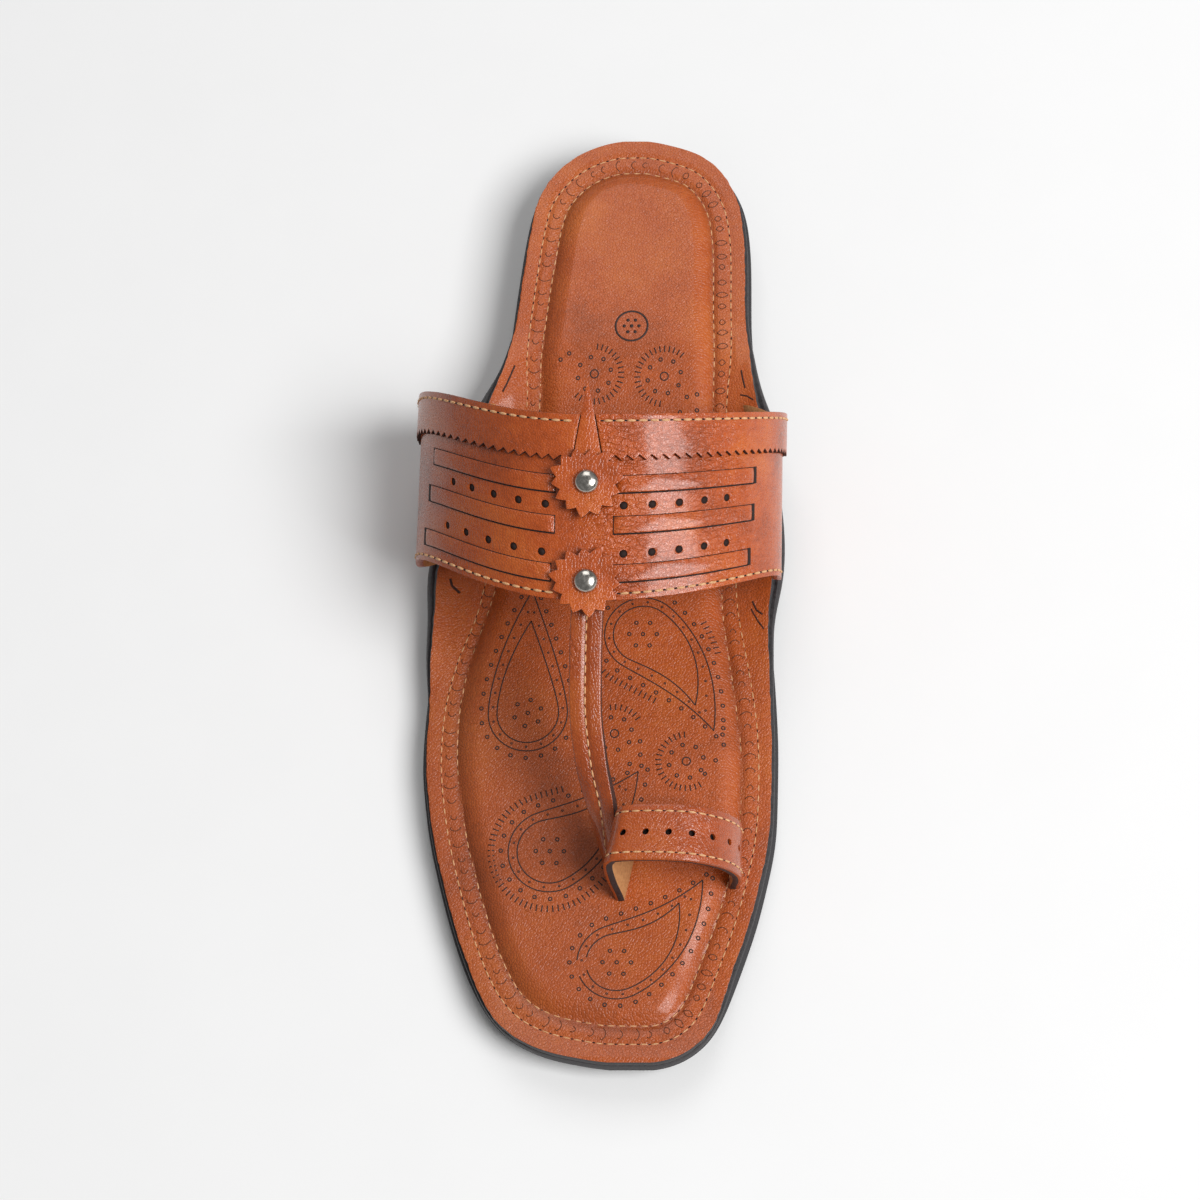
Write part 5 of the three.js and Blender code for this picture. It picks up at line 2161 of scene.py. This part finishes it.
@dataclass
class StarButton:
    """A pinked leather star held by a domed nickel rivet."""

    name: str
    across: float
    low: float
    node: str
    rivet_node: str
    diameter: float = 20.0
    thickness: float = 1.0
    points_round: int = 14
    tooth: float = 2.0
    uneven_rim: tuple[float, float] = (0.35, 0.25)
    rim_curl: float = 0.55
    dish: tuple[float, float] = (0.15, 4.0)
    turn: float = 0.0
    rivet_diameter: float = 6.7
    rivet_height: float = 2.2
    shank_diameter: float = 2.6

    def build(self) -> None:
        """Builds the star and its rivet."""
        self.build_star()
        self.build_rivet()

    def build_star(self) -> None:
        """Builds the leather star."""
        work = FlatWork()
        work.grid(self.points_round * 6, 12, (0, 0), (1, 1))
        hole = self.shank_diameter / 2 + LAST.layer_gap

        def cut(t: Array, u: Array) -> tuple[Array, Array]:
            """Cuts the star's outline, its teeth uneven.

            Args:
                t: share along the piece.
                u: share from its inner to its outer edge.

            Returns:
                Both coordinates on the star.
            """
            wave = np.abs((t * self.points_round) % 1.0 - 0.5) * 2
            broad, fine = self.uneven_rim
            around = t * 2 * np.pi
            uneven = broad * np.sin(around * 3 + self.turn) + fine * np.sin(around * 7 + 1)
            rim = self.diameter / 2 - self.tooth * (1 - wave) + uneven * u**4
            radius = mix(hole, rim, u)
            angle = around + self.turn
            return radius * np.cos(angle), radius * np.sin(angle)

        work.warp(cut)
        work.thicken()
        centre = self.across * BAND.width

        def place(a: Array, b: Array, level: Array) -> Array:
            """Points of the star, its rim curled here and there.

            Args:
                a: millimetres along the crown.
                b: millimetres across the band.
                level: 0 underneath, 1 on top.

            Returns:
                Rows of points.
            """
            radius = np.hypot(a, b)
            angle = np.arctan2(b, a)
            wave = 0.5 + 0.5 * np.sin(angle * 3 + self.turn * 2)
            curl = self.rim_curl * smooth(5.0, 10.0, radius) * wave - swell(radius, *self.dish)
            return BAND.over(a, b + centre, self.low + curl + self.thickness * level)

        piece = work.lay(f"{self.name}_leather", place, ["strap", "cut_edge", "lining"])
        round_edges(piece, 0.15)
        attach(piece, "strap_leather", self.node)

    def build_rivet(self) -> None:
        """Builds the domed rivet by turning its profile."""
        zero = np.zeros(1)
        centre = np.array([self.across * BAND.width])
        base = BAND.over(zero, centre, zero + self.low + self.thickness)[0]
        axis = Vector(unit(BAND.over(zero, centre, zero + 9.0)[0] - base))
        head = self.rivet_diameter / 2
        mesh = bmesh.new()
        angles = np.radians([0, 12, 25, 38, 52, 66, 78])
        profile = [
            (self.shank_diameter / 2, -self.low - self.thickness - 3.0), (self.shank_diameter / 2, 0.12)
        ]
        profile += [(head - 0.25, 0.1), (head - 0.05, 0.2)]
        profile += [(head * math.cos(t), 0.35 + (self.rivet_height - 0.35) * math.sin(t)) for t in angles]
        profile += [(0.0, self.rivet_height)]
        verts = [mesh.verts.new((x * MM, 0, z * MM)) for x, z in profile]
        verts.insert(0, mesh.verts.new((0, 0, profile[0][1] * MM)))
        edges = [mesh.edges.new(pair) for pair in zip(verts, verts[1:])]
        bmesh.ops.spin(
            mesh, geom=verts + edges, cent=(0, 0, 0), axis=(0, 0, 1), dvec=(0, 0, 0), angle=2 * math.pi,
            steps=40, use_merge=True
        )
        bmesh.ops.remove_doubles(mesh, verts=mesh.verts, dist=0.01 * MM)
        bmesh.ops.recalc_face_normals(mesh, faces=mesh.faces)
        turn = Vector((0, 0, 1)).rotation_difference(axis).to_matrix().to_4x4()
        bmesh.ops.transform(
            mesh, matrix=Matrix.Translation(Vector(to_frame(base))) @ turn, verts=mesh.verts
        )
        for face in mesh.faces:
            face.smooth = True
        attach(to_object(f"{self.name}_rivet", mesh, ["nickel"]), "rivet_metal", self.rivet_node)


@dataclass
class CentreStrap:
    """Flat double strap from under the band to the toe ring, with a seam down its middle."""

    width: float = 9.0
    thickness: float = 2.6
    columns: int = 150
    rows: int = 18
    seam_groove: tuple[float, float] = (0.45, 0.8)
    rolled_edge: float = 0.35
    burnish: float = 0.3
    stitch_pitch: float = 2.9
    stitch_length: float = 2.3
    thread_thickness: float = 0.65
    tables: dict[str, SmoothTable] = field(default_factory=dict)
    length: float = 0.0

    def __post_init__(self) -> None:
        """Works out the strap's path by length."""
        s = np.array([row.along for row in STRAP]) * LAST.length
        height = BAND.front_crown_rise - LAST.insole_high
        z = LAST.seat(s) + LAST.insole_high + np.array([row.up for row in STRAP]) * height
        x = np.array([row.across for row in STRAP]) * LAST.ball_width / 2
        travelled = arc_length(points(x, s, z))
        self.length = float(travelled[-1])
        twist = np.radians([row.twist for row in STRAP])
        for name, column in (("x", x), ("s", s), ("z", z), ("twist", twist)):
            self.tables[name] = SmoothTable(travelled, column)

    def over(self, a: Array, b: Array, height: Array) -> Array:
        """Points over the strap's middle layer.

        Args:
            a: millimetres along the strap.
            b: millimetres from its middle line.
            height: height over its middle layer.

        Returns:
            Rows of points.
        """
        read = self.tables
        centre = points(read["x"](a), read["s"](a), read["z"](a))
        behind, beyond = np.maximum(a - 0.5, 0), np.minimum(a + 0.5, self.length)
        ahead = unit(
            points(read["x"](beyond), read["s"](beyond), read["z"](beyond))
            - points(read["x"](behind), read["s"](behind), read["z"](behind))
        )
        level = unit(np.array([1.0, 0, 0]) - ahead * ahead[:, :1])
        up = unit(np.cross(ahead, level))
        twist = read["twist"](a)[:, None]
        wide = level * np.cos(twist) + np.cross(ahead, level) * np.sin(twist)
        thick = unit(np.cross(ahead, wide))
        thick = thick * np.sign((thick * up).sum(-1, keepdims=True) + 1e-6)
        return centre + wide * b[:, None] + thick * np.asarray(height, float)[:, None]

    def build(self) -> None:
        """Builds the strap and its seam."""
        work = FlatWork()
        half = self.width / 2
        work.grid(self.columns, self.rows, (0, -half), (self.length, half))
        work.thicken(3)

        def crown(b: Array) -> Array:
            """Height of the strap's top, grooved along its middle and rolled at its edges."""
            rolled = self.rolled_edge * (np.abs(b) / half) ** 4
            return self.thickness / 2 - swell(b, *self.seam_groove) - rolled

        def place(a: Array, b: Array, level: Array) -> Array:
            """Points of the strap, whose top is at level 1."""
            return self.over(a, b, mix(-self.thickness / 2, crown(b), level))

        piece = work.lay("centre_strap", place, ["strap", "cut_edge", "strap"])
        round_edges(piece, 0.3)
        paint(piece, "burnish", lambda at: np.full(len(at), self.burnish))
        attach(piece, "strap_leather", "upper")
        sewing = Thread()
        a = np.linspace(6, self.length - 6, 120)
        sewing.sew(
            lambda a, b, height: self.over(a, b, crown(b) + height), a, np.zeros_like(a), self.stitch_pitch,
            self.stitch_length, self.thread_thickness, hole=0.6
        )
        sewing.finish("centre_strap", "strap_leather")


@dataclass
class ToeRing:
    """Toe ring: a lined strap bent over the toe, with black edges, two stitch rows and a row of holes."""

    width: float = 15.5
    thickness: float = 2.5
    span: float = 34.0
    height: float = 27.0
    front_at: float = 46.0
    lean: float = 4.5
    left: float = 0.2
    turn: float = 0.2
    hole_diameter: float = 1.9
    hole_pitch: float = 6.5
    holes: int = 7
    first_hole: float = 0.385
    burnish: float = 0.18
    top_wrinkle: float = 0.4
    edge_inset: float = 0.25
    row_roll: float = 0.18
    columns: int = 150
    rows: int = 22
    stitch_pitch: float = 3.0
    stitch_length: float = 2.4
    thread_thickness: float = 0.65
    length: float = 0.0
    steps: Array = field(default_factory=lambda: np.linspace(0, 1, 401))
    travelled: Array = field(default_factory=lambda: np.zeros(401))

    def __post_init__(self) -> None:
        """Measures the ring's line."""
        line = self.line(self.steps)
        self.travelled = arc_length(line)
        self.length = float(self.travelled[-1])

    def line(self, t: Array) -> Array:
        """The ring's middle line seen from the front, through its table's rows.

        Args:
            t: from 0 at the outer foot to 1 at the inner one.

        Returns:
            Rows of x and z.
        """
        bed = LAST.seat(np.asarray(self.front_at + self.width / 2)) + LAST.insole_high + LAST.pad_height
        rows = np.array([[self.left + row.across * self.span, bed + row.up * self.height] for row in RING])
        place = np.clip(t, 0, 1) * (len(rows) - 1)
        k = np.minimum(place.astype(int), len(rows) - 2)
        u = (place - k)[:, None]
        before, start = rows[np.maximum(k - 1, 0)], rows[k]
        end, after = rows[k + 1], rows[np.minimum(k + 2, len(rows) - 1)]
        from_start, to_end = (end - before) / 2, (after - start) / 2
        cube = (2 * start - 2 * end + from_start + to_end) * u**3
        square = (-3 * start + 3 * end - 2 * from_start - to_end) * u**2
        return cube + square + from_start * u + start

    def over(self, a: Array, b: Array, height: Array) -> Array:
        """Points over the ring's middle layer.

        Args:
            a: millimetres along the ring.
            b: millimetres from its front edge.
            height: height over its middle layer.

        Returns:
            Rows of points.
        """
        t = np.interp(a, self.travelled, self.steps)
        at = self.line(t)
        ahead = unit(self.line(np.minimum(t + 0.003, 1)) - self.line(np.maximum(t - 0.003, 0)))
        bed = LAST.seat(np.asarray(self.front_at + self.width / 2)) + LAST.insole_high + LAST.pad_height
        share = (at[:, 1] - bed) / self.height
        lean = self.lean * mix(share, 1, smooth(0.3, 0.7, t))
        aside = self.turn * b * (1 - smooth(0.3, 0.7, t))
        x = at[:, 0] + aside - ahead[:, 1] * height
        return points(x, self.front_at + lean + b, at[:, 1] + ahead[:, 0] * height)

    def wrinkle(self, at: Array) -> Array:
        """How strongly the glaze is crinkled: most on the ring's top."""
        x = at[:, 0]
        return self.top_wrinkle * smooth(4, 12, x) * (1 - smooth(24, 32, x))

    def build(self) -> None:
        """Builds the ring and its stitches."""
        low, high = self.travelled[12], self.travelled[-12]
        first = float(np.interp(self.first_hole, self.steps, self.travelled))
        places = [(first + k * self.hole_pitch, self.width / 2) for k in range(self.holes + 1)]
        work = FlatWork()
        work.grid(self.columns, self.rows, (low, 0), (high, self.width))
        work.punch(places, self.hole_diameter)
        work.thicken(3)

        def place(a: Array, b: Array, level: Array) -> Array:
            """Points of the ring, its edges rounded in.

            Args:
                a: millimetres along the ring.
                b: millimetres across it.
                level: 0 inside, 1 outside.

            Returns:
                Rows of points.
            """
            inset = self.edge_inset * (1 - (2 * level - 1) ** 2) * (2 * b / self.width - 1)
            edge = np.abs(2 * b / self.width - 1) > 0.99
            rolled = self.row_roll * np.exp(-((np.minimum(b, self.width - b) - 2.6) ** 2) / 6.0)
            height = mix(-self.thickness / 2, self.thickness / 2 + rolled, level)
            return self.over(a, b + np.where(edge, inset, 0), height)

        piece = work.lay("toe_ring", place, ["strap", "edge_paint", "lining"], face_from=0.6)
        round_edges(piece, 0.35)
        paint(piece, "burnish", lambda at: np.full(len(at), self.burnish))
        paint(piece, "wrinkle", self.wrinkle)
        attach(piece, "strap_leather", "upper")
        lay_hole_shade("ring_hole_bottoms", self.over, places, self.hole_diameter)
        sewing = Thread()
        for across in (1.9, self.width - 1.9):
            a = np.linspace(first - 4.0, high - 10.0, 120)
            sewing.sew(
                lambda a, b, height: self.over(a, b, self.thickness / 2 + 0.15 + height), a,
                np.full_like(a, across), self.stitch_pitch, self.stitch_length, self.thread_thickness,
                hole=0.6
            )
        sewing.finish("toe_ring", "strap_leather")


class LampRow(NamedTuple):
    """A square softbox aimed at the sandal: its name, place and side in metres, and its power in watts."""

    name: str
    at: tuple[float, float, float]
    size: float
    power: float


LAMPS = (
    LampRow("key_softbox", (1.6, -0.6, 2.05), 1.4, 70.0),
    LampRow("rear_softbox", (-0.1, 1.9, 2.1), 1.6, 18.0),
)


@dataclass
class Studio:
    """Pale paper floor, soft lights and the camera at the photograph's angle."""

    camera_at: tuple[float, float, float] = (0.0782, -0.3157, 0.8578)
    camera_target: tuple[float, float, float] = (0.0, -0.006, 0.015)
    camera_tilt: float = 69.0
    lens_mm: float = 93.0
    sensor_mm: float = 36.0
    floor_size: float = 8.0
    air: float = 0.22

    def build(self) -> None:
        """Builds the studio round the sandal."""
        self.build_camera()
        self.build_floor()
        self.build_lights()

    def build_camera(self) -> None:
        """Places the camera."""
        data = bpy.data.cameras.new("camera")
        data.lens = self.lens_mm
        data.sensor_width = self.sensor_mm
        data.sensor_fit = "HORIZONTAL"
        data.clip_end = 20
        camera = bpy.data.objects.new("camera", data)
        camera.location = self.camera_at
        ahead = (Vector(self.camera_target) - Vector(self.camera_at)).normalized()
        tilt = math.radians(self.camera_tilt)
        right = ahead.cross(Vector((0.0, math.sin(tilt), math.cos(tilt)))).normalized()
        camera.rotation_euler = Matrix((right, right.cross(ahead), -ahead)).transposed().to_euler()
        bpy.context.scene.collection.objects.link(camera)
        bpy.context.scene.camera = camera

    def build_floor(self) -> None:
        """Lays the paper floor."""
        mesh = bmesh.new()
        bmesh.ops.create_grid(mesh, x_segments=8, y_segments=8, size=self.floor_size / 2)
        to_object("paper_floor", mesh, ["paper"])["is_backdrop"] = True

    def build_lights(self) -> None:
        """Hangs the softboxes and sets the ambient light."""
        for name, at, size, power in LAMPS:
            data = bpy.data.lights.new(name, "AREA")
            data.shape = "SQUARE"
            data.size = size
            data.energy = power
            lamp = bpy.data.objects.new(name, data)
            lamp.location = at
            lamp.rotation_euler = (-Vector(at)).to_track_quat("-Z", "Y").to_euler()
            bpy.context.scene.collection.objects.link(lamp)
        world = bpy.data.worlds.new("studio_air")
        world.use_nodes = True
        background = world.node_tree.nodes["Background"]
        background.inputs["Color"].default_value = linear("FFFFFF")
        background.inputs["Strength"].default_value = self.air
        bpy.context.scene.world = world
        bpy.context.scene.view_settings.view_transform = "Standard"


def main() -> None:
    """Builds the sandal and its studio, and logs each part."""
    logging.basicConfig(level=logging.INFO, format="%(message)s")
    over_overlays = InstepBand.overlay_thickness + 2 * LAST.layer_gap
    over_band = InstepBand.strip_raise + LAST.layer_gap
    parts = (
        Studio(), Sole(), Footbed(), InstepBand(),
        StarButton("rear_star", REAR_STAR, over_overlays, "star_rear", "rivet_rear", turn=0.1),
        StarButton("front_star", FRONT_STAR, over_band, "star_front", "rivet_front", turn=0.32),
        CentreStrap(), ToeRing()
    )
    for part in parts:
        part.build()
        LOG.info("built %s", type(part).__name__)
    for piece in sorted(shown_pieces(), key=lambda o: o.name):
        LOG.info("piece %s: %d faces", piece.name, len(piece.data.polygons))


if __name__ == "__main__":
    main()
